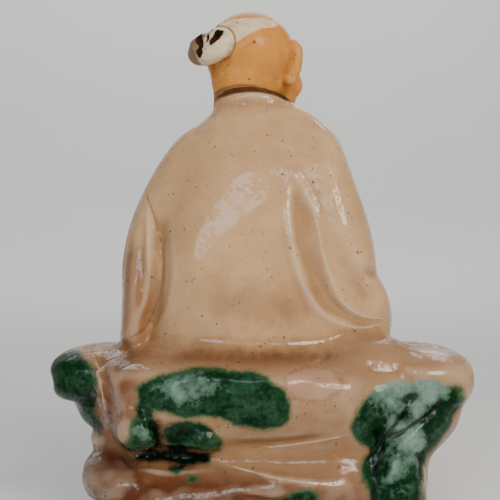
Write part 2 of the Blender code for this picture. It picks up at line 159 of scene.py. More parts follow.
class Places:
    """The frame that each group of forms is drawn in, from the sizes in use."""

    def __init__(self, sizes):
        seat = (sizes.seat_width, sizes.seat_depth, sizes.seat_height)
        self.rock = Matrix.Diagonal((*(size / parts for size, parts in zip(seat, SEAT_PARTS)), 1.0))
        self.torso = Matrix.Translation((0, 0, sizes.seat_height)) @ Matrix.Scale(
            sizes.torso_height / TORSO_PARTS, 4
        )
        self.head = (
            Matrix.Translation(self.torso @ Vector(HEAD_AT))
            @ Matrix.Rotation(-sizes.head_turn, 4, "Z")
            @ Matrix.Rotation(sizes.head_bow, 4, "X")
            @ Matrix.Scale(sizes.head_height / HEAD_PARTS, 4)
        )
        self.bun = self.head @ Matrix.Translation(BUN_AT) @ Matrix.Rotation(BUN_TILT, 4, "X")


# Clay tools


def smooth_line(points, steps=10):
    """Rows along the smooth curve through the given rows, which may hold any count of numbers."""
    rows = np.array(points, float)
    ends = np.vstack([2 * rows[0] - rows[1], rows, 2 * rows[-1] - rows[-2]])
    made = []
    for a, b, c, d in zip(ends, ends[1:], ends[2:], ends[3:]):
        for t in np.arange(steps) / steps:
            square, cube = 2 * a - 5 * b + 4 * c - d, 3 * b - a - 3 * c + d
            made.append(b + 0.5 * ((c - a) * t + square * t**2 + cube * t**3))
    return np.vstack(made + [rows[-1]])


def turns(count):
    """The angles of a full turn in even steps."""
    return [2 * math.pi * i / count for i in range(count)]


def shell(clay, frame, rings, lid=True):
    """A shell through rings of points, with a flat end at the first ring and, as a lid, at the last."""
    loops = [[clay.verts.new(frame @ Vector(p)) for p in ring] for ring in rings]
    for low, high in zip(loops, loops[1:]):
        for i in range(len(low)):
            j = (i + 1) % len(low)
            clay.faces.new((low[i], low[j], high[j], high[i]))
    clay.faces.new(loops[0][::-1])
    if lid:
        clay.faces.new(loops[-1])


def ball(clay, frame, at, size, turn=(0, 0, 0), square=2.0):
    """A ball of three half-sizes, turned by degrees about X, Y and Z. A square above 2 makes it boxier."""
    place = Matrix.Translation(at)
    for degrees, axis in zip(turn, "XYZ"):
        place = place @ Matrix.Rotation(math.radians(degrees), 4, axis)
    place = frame @ place @ Matrix.Diagonal((*size, 1.0))
    made = bmesh.ops.create_icosphere(clay, subdivisions=4, radius=1.0)["verts"]
    for vertex in made:
        reach = sum(abs(x) ** square for x in vertex.co) ** (1 / square)
        vertex.co = place @ (vertex.co / reach)


def roll(clay, frame, path, sizes, up=(0, 0, 1), sides=24):
    """A roll of clay along a smooth path. Sizes are half-widths across the path and along up."""
    rows = smooth_line([(*p, *s) for p, s in zip(path, sizes)])
    ways = np.gradient(rows[:, :3], axis=0)
    rings = []
    for row, way in zip(rows, ways):
        ahead = Vector(way).normalized()
        across = Vector(up).cross(ahead).normalized()
        over = ahead.cross(across)
        middle, wide, high = Vector(row[:3]), across * row[3], over * row[4]
        rings.append([middle + wide * math.cos(t) + high * math.sin(t) for t in turns(sides)])
    shell(clay, frame, rings)


def slices(clay, frame, rows, square=2.3):
    """Level slices: height, then where the left, right, front and back ends are."""
    rings = []
    for z, left, right, front, back in smooth_line(rows):
        middle = ((left + right) / 2, (front + back) / 2)
        ring = []
        for t in turns(64):
            c, s = math.cos(t), math.sin(t)
            x = math.copysign(abs(c) ** (2 / square), c) * (left - right) / 2
            y = math.copysign(abs(s) ** (2 / square), s) * (back - front) / 2
            ring.append((middle[0] + x, middle[1] + y, z))
        rings.append(ring)
    shell(clay, frame, rings)


# Rock seat, in rock parts


def rock(clay, at):
    slices(
        clay,
        at.rock,
        [
            (-6, 36, -42, -34, 35),
            (2, 41, -44, -37, 38),
            (10, 45, -45, -38, 40),
            (17, 45, -45, -36, 38),
            (22, 44, -45, -34, 35),
            (27, 46, -46, -34, 37),
            (34, 49, -48, -34, 40),
            (41, 49, -47, -33, 40),
            (46, 44, -42, -32, 36),
            (49.5, 34, -36, -30, 30),
        ],
        square=3.0,
    )
    # slab that carries the robe
    roll(clay, at.rock, [(40, 13, 41), (20, 22, 42.5), (-8, 23, 41.5), (-38, 14, 41)], [(17, 6.5)] * 4)
    roll(clay, at.rock, [(34, 22, 34), (14, 26, 34.5), (-30, 22, 33)], [(14, 8), (14, 8), (14, 9)])
    ball(clay, at.rock, (-29, 17, 46), (17, 14, 8))
    # left lobe and its tail
    ball(clay, at.rock, (46.5, 1, 41.2), (15.8, 21, 8.4), turn=(0, 4, 0), square=2.9)
    ball(clay, at.rock, (45.5, 2, 33), (9.5, 17, 11.5), turn=(0, 36, 0))
    ball(clay, at.rock, (43, 3, 24), (7.5, 17, 9))
    # right lobe and the column under it
    ball(clay, at.rock, (-45, 6, 40.6), (17, 25, 9.2), turn=(0, -1, 0), square=3.1)
    column = [(-45.5, 8, 38), (-43.5, 10, 31), (-39, 12, 22), (-36.5, 13, 12), (-36, 13, 3), (-35, 13, -6)]
    roll(clay, at.rock, column, [(15, 22), (14.5, 22), (11.5, 23), (12, 25), (12, 25), (10, 22)], up=(0, 1, 0))
    # lower tier
    ball(clay, at.rock, (35.5, 9, 12.8), (15.8, 27, 8.6), square=2.4)
    ball(clay, at.rock, (4, 24, 11), (38, 17, 9), turn=(0, 3, 0), square=2.6)
    # knobs at the back
    ball(clay, at.rock, (32.5, 34.5, 28.8), (6.4, 6, 5.8))
    ball(clay, at.rock, (16, 35, 27), (6, 5, 3.6))
    # boulders at the front
    ball(clay, at.rock, (27, -25.4, 18), (18, 14, 14), turn=(0, 14, 22), square=3.0)
    ball(clay, at.rock, (-29, -26, 20), (18, 14, 12), turn=(6, -12, -20), square=3.0)
    ball(clay, at.rock, (-6, -31.8, 9), (17, 9, 9), turn=(0, -8, 6), square=2.8)
    ball(clay, at.rock, (19, -31.6, 4), (15, 9, 7), turn=(0, 4, -8), square=2.6)
    ball(clay, at.rock, (-34, -25, 6), (12, 13, 9), turn=(0, 0, -18), square=2.8)


# Robe, arms and lap, in torso parts above the seat


def torso(clay, at):
    slices(
        clay,
        at.torso,
        [
            (-6, 37, -35, -30, 27),
            (4, 36, -35, -29, 28),
            (14, 35.5, -33.5, -23, 27.5),
            (24, 35, -31.5, -19, 27),
            (34, 32.5, -29.5, -17, 26),
            (44, 29.5, -27.5, -15.5, 24),
            (52, 27, -25.5, -14, 21.5),
            (58, 25, -24.5, -12.5, 19),
            (63, 21, -22, -11, 17),
            (68, 16, -17.5, -9.5, 14),
            (70.6, 13.6, -12.6, -9, 12.4),
            (72.2, 12, -9.5, -8.8, 11.2),
        ],
    )
    # shoulders
    ball(clay, at.torso, (17, 1, 55.5), (11.5, 12, 10.5), turn=(0, 30, 0))
    ball(clay, at.torso, (-15.4, 4, 57.2), (10.2, 12, 10), turn=(0, -25, 0))
    ball(clay, at.torso, (-30, 10, 12.5), (8.6, 11, 9))
    ball(clay, at.torso, (-28.4, 9, 18), (6.8, 12, 10), turn=(0, 24, 0))
    # rim of the robe round the neck
    rim = [(12.8, -2, 70.6), (11.6, 6, 71.8), (7, 10.8, 72.6), (1, 12.0, 72.8), (-5, 10.0, 71.8)]
    rim += [(-8.6, 4, 70.0), (-9.4, -3, 68.8)]
    roll(clay, at.torso, rim, [(1.1, 1.2)] * 7)
    # crossed lapels
    lapel = [(3.2, 2.2), (3.6, 2.2), (4, 2.2), (4, 2.4), (3.6, 2.4)]
    over = [(13, -3, 70), (11.5, -9, 64), (6, -14, 52), (-3, -17, 38), (-12, -19.5, 24)]
    under = [(-9.5, -3, 71), (-8.5, -9, 65), (-4, -13, 54), (3, -15.4, 42), (9, -18, 26)]
    for path in (over, under):
        roll(clay, at.torso, path, lapel, up=(0, 1, 0.3))


def arm(clay, at, side):
    """A sleeved arm: shoulder to elbow, the wide sleeve down to the seat, and the forearm to the lap."""
    if side > 0:
        upper = [(19.5, 1, 57), (25.2, 3, 47), (30, 4, 36), (32.6, 4, 24), (34.6, 5, 12), (37.2, 5, 0)]
        widths = [(8, 11), (8.5, 12), (8.5, 13), (8.6, 14), (6.8, 14), (4.6, 14)]
        lower = [(33, 2, 24), (30, -10, 20), (22, -20, 17), (12, -27, 15)]
        drape = [(34, 6, 9), (34, -4, 8), (29, -16, 8), (21, -24.5, 9), (13, -29, 10)]
    else:
        upper = [(-16.5, 6, 58), (-18.6, 9, 49), (-21.4, 10, 37), (-23.8, 11, 25), (-25, 10, 17)]
        upper.append((-28, 12, 9))
        widths = [(8, 11), (9, 13), (10, 15), (10.5, 14.5), (9, 12), (9, 10)]
        lower = [(-26.5, 5, 23), (-26, -8, 20), (-19, -19, 18), (-9, -27, 17)]
        drape = [(-31, 13, 7), (-33.5, 2, 8), (-29, -15, 8.5), (-19.5, -24.5, 10), (-10.5, -29, 11)]
    roll(clay, at.torso, upper, widths, up=(0, 1, 0))
    roll(clay, at.torso, lower, [(7.5, 8), (7.5, 8), (7, 7.5), (5.5, 6.5)])
    roll(clay, at.torso, drape, [(6.5, 10), (6.5, 11), (6, 11), (5, 10), (3.5, 9)])


def arms(clay, at):
    for side in (1, -1):
        arm(clay, at, side)


def lap(clay, at):
    """Crossed legs under the robe, and its hem over the front of the rock."""
    ball(clay, at.torso, (1, -12, 3), (38, 25, 9.5), square=2.3)
    for side in (1, -1):
        knee = (25 * side + 1, -19, 3.5)
        ball(clay, at.torso, knee, (15.5, 16, 9.6), turn=(0, 0, 24 * side), square=2.2)
    shin = [(27, -23, 2), (10, -32, 1.5), (-10, -33.4, -1), (-24, -29, -3)]
    roll(clay, at.torso, shin, [(7, 6), (8, 7.5), (7.5, 7), (5, 5)])
    roll(clay, at.torso, [(-27, -23, 3), (-12, -30.5, 3.5), (4, -32, 3)], [(7, 6.5), (7.5, 7.5), (6, 6)])
    ball(clay, at.torso, (1, -30, -7), (24, 10, 12), square=2.6)


def hands(clay, at):
    """The right hand resting on the left."""
    ball(clay, at.torso, (4.5, -30.5, 13.2), (8.6, 4.6, 3.0), turn=(0, 6, 10))
    ball(clay, at.torso, (-2.0, -31.0, 16.6), (8.4, 4.6, 3.0), turn=(0, -6, -10))
    thumb = [(5.5, -33.0, 14.5), (3.2, -34.2, 17.2), (0.8, -34.4, 18.6)]
    roll(clay, at.torso, thumb, [(1.6, 1.6), (1.5, 1.5), (1.3, 1.3)])


def collar(clay, at):
    """Inner collar round the neck, and what fills it."""
    collar_rim(clay, at)
    ball(clay, at.torso, (2, 0.5, 69), (10.6, 10.2, 4.2))


def collar_rim(clay, at):
    ring = [(11.0 * math.cos(t), 10.4 * math.sin(t)) for t in np.linspace(0, 2 * math.pi, 25)]
    path = [(2 + x, 0.5 + y, 72.2 + 0.24 * y + 0.08 * x) for x, y in ring]
    roll(clay, at.torso, path, [(1.3, 1.6)] * len(path))


# Head, in head parts from its centre


def face_forms(clay, at):
    ball(clay, at.head, SKULL_AT, (13.3, 14.2, 13.4))
    ball(clay, at.head, (0, -4.4, -2.0), (12.2, 11.2, 11.6))
    # jaw and chin
    ball(clay, at.head, (0, -8.4, -7.6), (9.8, 7.9, 7.2))
    ball(clay, at.head, (0, -12.6, -11.8), (4.6, 3.8, 3.4))
    for side in (1, -1):
        ball(clay, at.head, (6.2 * side, -10.6, -4.4), (4.4, 4.2, 4.4))
        ball(clay, at.head, (4.8 * side, -13.1, -0.2), (2.9, 2.2, 1.9))
    # nose
    bridge = [(0, -14.6, 2), (0, -16.2, -1.6), (0, -17.2, -4.4)]
    roll(clay, at.head, bridge, [(1.3, 1.5), (1.5, 1.8), (2.2, 2.0)])
    for side in (1, -1):
        ball(clay, at.head, (1.9 * side, -16.0, -4.8), (1.4, 1.6, 1.2))
    # lips
    ball(clay, at.head, (0, -15.0, -8.6), (3.2, 1.8, 1.3))
    # neck
    neck = [(0, 0.5, -18), (0, 0.9, -11), (0, 1.6, -6), (0, 2, -2)]
    roll(clay, at.head, neck, [(9.2, 9.2), (9.8, 9.9), (10.8, 11.2), (11.4, 12)], up=(0, 1, 0))


def brows(clay, at):
    for side in (1, -1):
        brow = [(2.1 * side, -14.8, 3.3), (5.4 * side, -14.0, 3.9), (9.8 * side, -10.4, 1.9)]
        roll(clay, at.head, brow, [(0.9, 1.0), (1.1, 1.1), (0.7, 0.7)])


def ears(clay, at):
    for side in (1, -1):
        ear(clay, at, side)


def ear(clay, at, side):
    """A long ear, smooth behind, with a rolled rim in front and a heavy lobe."""
    x = 12.0 * side
    slab = [(-0.8, -1.8, 5.0), (1.2, -2.4, 4.0), (2.3, -3.2, 0.6), (1.7, -3.8, -3.2), (0.9, -4.0, -5.6)]
    slab = [(x + out * side, y, z) for out, y, z in slab]
    roll(clay, at.head, slab, [(1.2, 1.2), (2.6, 1.6), (2.8, 1.5), (2.2, 1.6), (1.4, 1.5)], up=(0, 1, 0))
    ball(clay, at.head, (x + 1.0 * side, -4.0, -5.4), (2.0, 1.9, 2.2), turn=(0, 14 * side, 0))
    ball(clay, at.head, (x - 1.0 * side, -1.8, 1.8), (2.8, 3.0, 4.0))
    rim = [(0, -3.4, 4.2), (2.2, -3.9, 4.8), (3.6, -4.3, 2.0), (3.2, -4.8, -3.4)]
    rim = [(x + out * side, y, z) for out, y, z in rim]
    roll(clay, at.head, rim, [(0.9, 0.9)] * 4, up=(0, 1, 0), sides=12)


def bun(clay, at):
    """A flat coil of hair at the back of the head, filled almost to its rim."""
    coil = [(5.9 * math.cos(t), 0.8 + 4.0 * math.sin(t), 0.0) for t in np.linspace(0, 2 * math.pi, 33)]
    roll(clay, at.bun, coil, [(2.6, 2.9)] * len(coil))
    ball(clay, at.bun, (0, 0.8, 0), (6.6, 5.2, 2.3))


def beard(clay, at):
    roll(
        clay,
        at.head,
        [(0, -13.0, -11.0), (0, -16.6, -15.5), (0, -19.6, -21), (0, -21.4, -27), (0.4, -22, -33)],
        [(5.4, 3.2), (6.4, 3.2), (6.0, 3.0), (4.4, 2.6), (1.4, 1.2)],
        up=(0, 1, 0),
    )
    for side in (1, -1):
        roll(
            clay,
            at.head,
            [(0.9 * side, -16.3, -6.8), (3.8 * side, -15.6, -8.0), (5.8 * side, -14.6, -12.4)],
            [(0.8, 0.8), (1.1, 1.0), (0.7, 0.7)],
            up=(0, 1, 0),
        )


# Strokes carved along the surface. Each is drawn in a frame's parts as seen square on from one side

# axis across, axis up, axis towards the eye, and its sign
BEHIND, BEFORE, LEFT, RIGHT = (0, 2, 1, 1), (0, 2, 1, -1), (1, 2, 0, 1), (1, 2, 0, -1)
ABOVE = (0, 1, 2, 1)


def drawn(place, side, *rows):
    """Strokes in one frame as seen from one side. A row is half-width, height and the points of the path."""
    return [(place, side, path, half_width, height) for half_width, height, *path in rows]


def on_face(*rows):
    """Strokes on the left half of the face, then the same ones on the right half."""
    made = []
    for side in (1, -1):
        for half_width, height, *path in rows:
            made += drawn("head", BEFORE, (half_width, height, *((x * side, z) for x, z in path)))
    return made


CREST = [(-8.3, 47), (-8, 36.6), (-10, 24.8), (-12.5, 17.8), (-15.6, 11.4), (-23, 7.5), (-32, 4)]
VALLEY = [(-9.8, 46), (-11, 36), (-13.4, 25.5), (-16.2, 18), (-19.8, 12.2), (-26, 8.6)]
RIDGE = [(-7.7, 51.7), (-13.3, 42.5), (-16, 36.6), (-18, 26), (-21, 18), (-25, 12.5), (-34, 7)]
STROKES = drawn(
    "torso", BEHIND,
    # sleeves from behind
    (2.1, -1.4, (31, 45), (28.7, 31), (28.1, 22), (29.4, 13.6), (32, 7.6), (35, 4.4)),
    (1.4, -0.7, (32, 42), (34, 28), (34.5, 17), (35.2, 8)),
    (1.1, 0.7, *CREST),
    (2.1, -1.3, *VALLEY),
    (1.8, 0.8, *RIDGE),
    (2.2, -1.0, (-21.7, 31), (-24.8, 22.6), (-28.7, 17), (-34, 12)),
    (1.4, -0.8, (-37, 21.5), (-33, 21), (-29, 22)),
)
STROKES += drawn(
    "torso", BEFORE,
    # folds on the chest and over the lap
    (2.0, -1.0, (22, 52), (21, 42), (19, 32), (14, 24)),
    (2.0, -1.0, (-20, 50), (-19, 40), (-16, 31), (-11, 25)),
    (1.6, -0.9, (30, 21), (25, 12), (19, 6)),
    (1.6, -0.9, (-28, 22), (-23, 13), (-17, 7)),
    (1.8, -1.0, (12, -2), (13, -9), (11, -16)),
    (1.8, -1.0, (-6, -3), (-7, -10), (-5, -17)),
)
STROKES += drawn(
    "torso", LEFT,
    (2.0, -0.8, (2, 50), (-2, 38), (-3, 26)),
)
STROKES += drawn(
    "torso", RIGHT,
    (2.0, -0.8, (2, 48), (-2, 38), (-6, 27)),
)
STROKES += drawn(
    "rock", BEHIND,
    # clefts of the rock
    (2.0, -1.2, (46, 48), (43.5, 42), (41, 34), (41, 27)),
    (3.4, -0.9, (-32, 47), (-30.5, 42), (-29, 36), (-28, 29)),
    (2.2, -3.4, (36, 22.0), (26, 21.4), (14, 22.5)),
    (1.4, -1.2, (11, 25), (-4, 25.5), (-20, 27)),
    (1.0, -1.2, (28.5, 33), (27, 29), (28.5, 25)),
)
STROKES += drawn(
    "rock", LEFT,
    (2.0, -1.2, (-18, 44), (-8, 38), (6, 37), (18, 42)),
)
STROKES += drawn(
    "rock", RIGHT,
    (2.0, -1.2, (-16, 36), (-2, 34), (14, 38), (26, 34)),
    (2.4, -1.6, (6, 30), (10, 20), (6, 10), (8, 2)),
)
# eye sockets, and the line under each eye
STROKES += on_face((1.0, -0.7, (2.4, 0.6), (5, 1.2), (7.8, 0.4)))
STROKES += on_face((0.9, -0.5, (2.4, -1.9), (5, -2.5), (7.6, -1.8)))

# Finer strokes, for the looks alone

ROBE_STROKES = drawn(
    "torso", BEHIND,
    # edges of the sleeves from behind
    (0.5, 0.42, (-8.3, 46.7), (-8.3, 36.3), (-9.1, 28.8), (-11.1, 20.4), (-14, 14.8), (-18.7, 9.2),
        (-27.1, 5.9), (-36, 6)),
    (0.8, 0.40, (-8.8, 50.4), (-13, 43.9), (-15.8, 35.5), (-17.7, 26), (-20.5, 17.6), (-23.3, 12.9),
        (-28.9, 9.2), (-36, 7.8)),
    (0.6, -0.5, (33.2, 44), (30.2, 36.4), (28.2, 27.9), (28.0, 19.4), (30.2, 11.8), (33.2, 5.3), (36.9, 3)),
    (0.8, 0.4, (32.5, 40), (32.2, 31), (32.0, 22)),
)
ROBE_STROKES += drawn(
    "torso", BEFORE,
    (0.6, -0.5, (13, 66), (10, 58), (4.5, 49), (-3, 37), (-11, 26)),
    (0.6, -0.5, (-8, 66), (-5.5, 58), (-1.5, 51)),
    (1.2, -0.7, (26, 44), (24, 33), (20, 24)),
    (1.2, -0.7, (-24, 42), (-22, 33), (-17, 25)),
    (1.3, -0.6, (8, 30), (2, 27), (-6, 26)),
    (1.4, -0.8, (32, 12), (25, 4), (16, 0), (8, 0)),
    (1.4, -0.8, (-31, 12), (-24, 5), (-15, 1), (-8, 1)),
    (1.2, -0.6, (24, -3), (14, -6), (4, -5)),
    (1.2, -0.6, (-22, -4), (-14, -7), (-6, -6)),
    (1.2, -0.6, (18, -4), (19, -11), (17, -17)),
    (1.2, -0.6, (-14, -4), (-15, -11), (-13, -17)),
    (1.2, -0.6, (3, -4), (3, -11), (5, -17)),
)
ROBE_STROKES += drawn(
    "torso", LEFT,
    (1.3, -0.6, (-8, 46), (-9, 34), (-14, 24)),
    (1.4, -0.6, (8, 44), (9, 30), (10, 16)),
    (1.3, -0.7, (-2, 22), (-10, 15), (-18, 12)),
)
ROBE_STROKES += drawn(
    "torso", RIGHT,
    (1.3, -0.6, (-8, 44), (-10, 33), (-15, 24)),
    (1.4, -0.6, (10, 40), (11, 30), (8, 20)),
    (1.3, -0.7, (-2, 20), (-10, 14), (-18, 11)),
)
ROBE_STROKES += drawn(
    "torso", BEFORE,
    # fingers
    (0.35, -0.45, (-6.0, 17.3), (-2.0, 17.6), (2.2, 17.9)),
    (0.35, -0.45, (-6.0, 15.9), (-2.0, 16.1), (2.6, 16.5)),
    (0.35, -0.4, (-5.6, 14.5), (-2.0, 14.6), (2.4, 14.9)),
    (0.35, -0.4, (2.6, 12.9), (5.4, 12.4), (9.0, 12.0)),
    # cuffs
    (0.8, -0.9, (-10.5, 22.5), (-8.6, 18), (-9.2, 12), (-11, 8)),
    (0.8, -0.9, (12.8, 21), (11.4, 16), (12.2, 10), (14, 7)),
)
ROCK_STROKES = drawn(
    "rock", BEHIND,
    (0.9, -1.1, (30.9, 32.0), (29.0, 31.2), (27.6, 28.6), (27.2, 25.8), (28.4, 23.8)),
    (0.9, -0.6, (22, 29.5), (18, 27.2), (17, 25)),
    (0.9, -1.2, (33, 20.6), (27, 21.2), (19, 21.2), (14, 22)),
    (1.0, 0.5, (47, 46), (44.6, 42), (43.6, 37.5), (43, 33)),
    (0.8, -0.7, (49, 38), (47.6, 33), (45, 29.5)),
    (0.7, 0.4, (-2, 24.6), (-12, 25.8), (-21, 27.6)),
    (0.9, 0.45, (7, 19.6), (-6, 17), (-18, 15.6)),
    (0.9, -0.9, (-35, 26), (-40, 29.6), (-46, 33), (-51, 37)),
    (1.1, -0.5, (-31, 34), (-35, 37.6), (-40, 37), (-44, 39)),
    (1.1, -0.7, (-28.5, 30), (-32, 27), (-33, 22), (-31, 18)),
    (0.9, -0.9, (-41, 24), (-44, 20.4), (-43, 15)),
    (0.8, 0.5, (-43.6, 20.2), (-45, 17), (-43.8, 12)),
    (1.0, -0.8, (39, 24), (37.4, 21), (34, 19)),
    (1.0, -0.5, (6, 13), (-2, 11.4), (-10, 12.4)),
)
ROCK_STROKES += drawn(
    "rock", BEFORE,
    (1.4, -1.0, (44, 36), (33, 31), (20, 31), (10, 34)),
    (1.4, -1.0, (-44, 34), (-34, 30), (-22, 32), (-12, 34)),
    (1.3, -0.9, (38, 12), (28, 9), (14, 10), (4, 7)),
    (1.3, -0.9, (-40, 12), (-28, 11), (-14, 14), (-6, 17)),
    (1.2, -0.8, (12, 24), (8, 17), (10, 9)),
    (1.2, -0.8, (-10, 22), (-13, 15), (-20, 8), (-21, 2)),
    (1.0, -0.6, (30, 28), (27, 22), (29, 15)),
    (1.0, -0.6, (-30, 28), (-27, 22), (-31, 14)),
)
ROCK_STROKES += drawn(
    "rock", LEFT,
    (1.3, -0.9, (-24, 30), (-14, 26), (-4, 27), (8, 24), (22, 27)),
    (1.2, -0.8, (-10, 24), (-8, 14), (-12, 4)),
    (1.2, -0.8, (14, 22), (17, 13), (13, 4)),
)
ROCK_STROKES += drawn(
    "rock", RIGHT,
    (1.3, -0.9, (-22, 26), (-10, 24), (2, 22), (16, 25)),
    (1.2, -0.8, (-12, 22), (-14, 12), (-9, 3)),
    (1.2, -0.8, (20, 28), (18, 18), (22, 8)),
)


def face_strokes():
    """The parting of the lips, then lids, lines and nostrils on both sides, and the hollow of each ear."""
    return drawn("head", BEFORE, (0.36, -0.55, (-2.6, -8.5), (0, -8.9), (2.6, -8.5))) + on_face(
        # lid slits and the creases above them
        (0.36, -0.5, (2.3, -0.5), (4.8, -1.1), (7.5, -0.4)),
        (0.4, -0.3, (2.6, 1.0), (5.0, 1.5), (7.8, 0.8)),
        # lines from the nose and under the lip
        (0.55, -0.45, (2.9, -5.0), (4.8, -7.2), (5.6, -10.0)),
        (0.5, -0.35, (0.4, -10.5), (2.0, -10.6), (3.2, -10.0)),
        # lines over the brow
        (0.45, -0.22, (0.0, 6.2), (3.4, 6.5), (6.6, 5.6)),
        (0.45, -0.2, (0.0, 8.4), (3.2, 8.7), (6.2, 7.8)),
        # nostrils and the wings of the nose
        (0.35, -0.5, (0.8, -6.2), (1.5, -6.3), (2.0, -6.0)),
        (0.35, -0.3, (2.9, -3.8), (3.3, -4.8), (3.1, -5.7)),
        # hairs of the brow
        (0.3, -0.25, (2.6, 2.8), (3.4, 3.9), (4.0, 4.6)),
        (0.3, -0.25, (4.4, 3.0), (5.4, 4.1), (6.0, 4.7)),
        (0.3, -0.25, (6.4, 2.5), (7.6, 3.4), (8.6, 3.8)),
        # hollow of the ear
        (0.8, -0.9, (14.2, 4.2), (15.2, 1.0), (14.2, -3.2)),
    )


def hair_strokes():
    """Grooves combed down the beard and moustache and round the bun, then the pits of the bun."""
    made = []
    for x in (-4.6, -3.3, -2.0, -0.7, 0.7, 2.0, 3.3, 4.6):
        path = [(x, -12.6), (1.08 * x + 0.3, -17), (0.96 * x - 0.3, -22), (0.6 * x + 0.2, -27), (0.2 * x, -31)]
        made += drawn("head", BEFORE, (0.42, -0.42, *path))
    made += on_face(
        (0.34, -0.3, (1.4, -7.2), (3.6, -8.4), (5.2, -11.8)),
        (0.34, -0.3, (2.4, -6.6), (4.6, -8.0), (6.2, -11.6)),
    )
    for across, up, height in ((4.6, 2.9, -0.2), (7.3, 5.3, -0.24)):
        ring = [(across * math.cos(t), 0.8 + up * math.sin(t)) for t in np.linspace(0, 2 * math.pi, 13)]
        made += drawn("bun", ABOVE, (0.36, height, *ring))
    return made + drawn(
        "bun", ABOVE,
        (1.3, -1.1, (2.9, -7.5), (2.4, -4.6), (1.6, -2.4)),
        (0.9, -0.8, (4.6, -2.8), (3.9, -0.5), (1.9, 1.6), (1.3, 3.4), (-0.8, 6.3)),
        (1.9, -1.1, (-3.6, -2.4), (-4.0, 0.4), (-4.2, 3.0)),
        (0.7, -0.7, (1.2, -2.0), (-0.5, 1.6)),
    )


# Splashes of green glaze, seen from behind, and trails of it round the sides and the front

SPLASHES = [
    # left lobe
    [
        (62, 46), (61, 49.6), (56, 51.4), (50.8, 50.6), (48.2, 48.6), (46.3, 46), (45, 43.3), (44.4, 41.1),
        (45.2, 38.1), (45, 35.1), (45.2, 33.4), (43.9, 30.5), (43.9, 27.9), (45, 27.1), (47.8, 30.5),
        (51.6, 32), (57, 34.4), (61, 38.6), (62, 43.3),
    ],
    # ledge, with the tail at its left end
    [
        (35, 40.3), (32, 41.8), (27.5, 43.7), (22.9, 44.9), (18.4, 46), (12.4, 46), (6.4, 45.2), (-1.2, 43.7),
        (-3.4, 42.2), (-7.2, 38.8), (-8.6, 35.1), (-8, 31.3), (-4.9, 29), (1.1, 28.3), (4.9, 29), (8.6, 30.5),
        (12.4, 31.3), (16.2, 31.7), (20.7, 31.3), (25.2, 32.4), (29, 33.5), (32, 32.4), (34.3, 34.3),
        (33.9, 36.9),
    ],
    [(34.6, 35.1), (30.5, 35.1), (29, 32.4), (30.5, 30.5), (34.3, 30.5)],
    # knobs under it
    [
        (38.8, 24.1), (36.5, 26.8), (36.1, 30.5), (34.3, 32.4), (31.2, 32.4), (28.2, 30.5), (27.5, 27.5),
        (27.5, 24.5), (29.7, 23.4), (32.7, 22.6), (35.8, 22.2),
    ],
    [
        (27.2, 26.6), (25.9, 29.6), (22.5, 30.9), (18.4, 31.2), (15.2, 30.5), (12.4, 27.5), (10.1, 25.3),
        (10.9, 23),
        (15.4, 22.2), (19.9, 23), (25.2, 23),
    ],
    [
        (35, 20.4), (32, 22.6), (26.7, 23), (18.4, 23), (13.9, 22.2), (14.3, 19.2), (18.4, 18.8),
        (26.7, 19.2), (30.5, 19.6),
    ],
    [(25.6, 18.1), (21.4, 18.3), (22.9, 16.2), (24.8, 16.6)],
    [(20.3, 16.2), (16.5, 15.8), (17.3, 14.3), (19.6, 13.9)],
    [(-1.2, 9.2), (-7.2, 10.2), (-9.5, 12.1), (-14.8, 11.7), (-16.3, 9.8), (-14.8, 7.2), (-1.2, 7.2)],
    # right lobe, and down its column
    [
        (-29.5, 37.7), (-31.3, 39.6), (-34.4, 41.1), (-39.6, 41.8), (-47.9, 42.2), (-50.6, 40.7), (-55.5, 40.7),
        (-56.2, 36.2), (-54, 32.8), (-51.7, 28.3), (-48.7, 23.7), (-46, 20), (-44.5, 17), (-44.9, 12.4),
        (-43.8, 6.4), (-31, 6.4), (-29.5, 11.7), (-27.6, 17), (-28.3, 20.7), (-29.5, 21.9), (-29.1, 23.4),
        (-26.8, 25.3), (-24.9, 29.8), (-26.1, 33.5), (-27.9, 36.2),
    ],
]
# lines of drops: x, y, z and radius
TRAILS = [
    # sides
    [(-57, 14, 36, 5), (-60, 6, 38, 6), (-60, -3, 36, 5), (-56, -10, 33, 4)],
    [(-52, 12, 24, 6), (-50, 2, 18, 6), (-47, -4, 10, 5), (-46, -6, 3, 3)],
    [(58, 8, 41, 5), (61, 0, 39, 5), (58, -10, 37, 5), (52, -16, 36, 4)],
    [(50, -4, 27, 5), (49, -8, 18, 5), (50, -6, 10, 3)],
    # front
    [(33, -34, 27, 5), (24, -40, 22, 7), (15, -40, 17, 6), (8, -40, 12, 4)],
    [(36, -34, 14, 4), (30, -39, 8, 5), (26, -41, 3, 4)],
    [(-22, -36, 27, 5), (-30, -38, 22, 7), (-38, -33, 17, 6), (-42, -26, 10, 4)],
    [(-10, -39, 14, 4), (-15, -40, 8, 5), (-17, -40, 2, 3)],
]
# pale cloudy green: where the green ran thin, and a painted reflection on the right lobe and the ledge
CLOUDS_AND_SHEEN = [
    [(-31, 33, 41, 3), (-37, 32, 40, 7), (-44, 29, 40, 8), (-51, 24, 39, 6)],
    [(-37, 34, 31, 5), (-40, 33, 26, 6), (-36, 34, 21, 4)],
    [(24, 40, 42, 4), (17, 41, 42, 5), (12, 41, 43, 3)],
    [(33, 41, 30, 2), (25, 41, 28, 2.5), (20, 42, 28, 2.5)],
    [(56, 18, 47, 1.5), (52, 22, 45, 1.5)],
    [(-33, 34, 39, 5), (-38, 34, 36, 5), (-43, 32, 34, 4)],
    [(-38, 35, 27, 4), (-36, 36, 20, 4), (-36, 36, 13, 3)],
    [(30, -36, 25, 4), (-31, -36, 20, 5), (58, -6, 38, 4)],
]
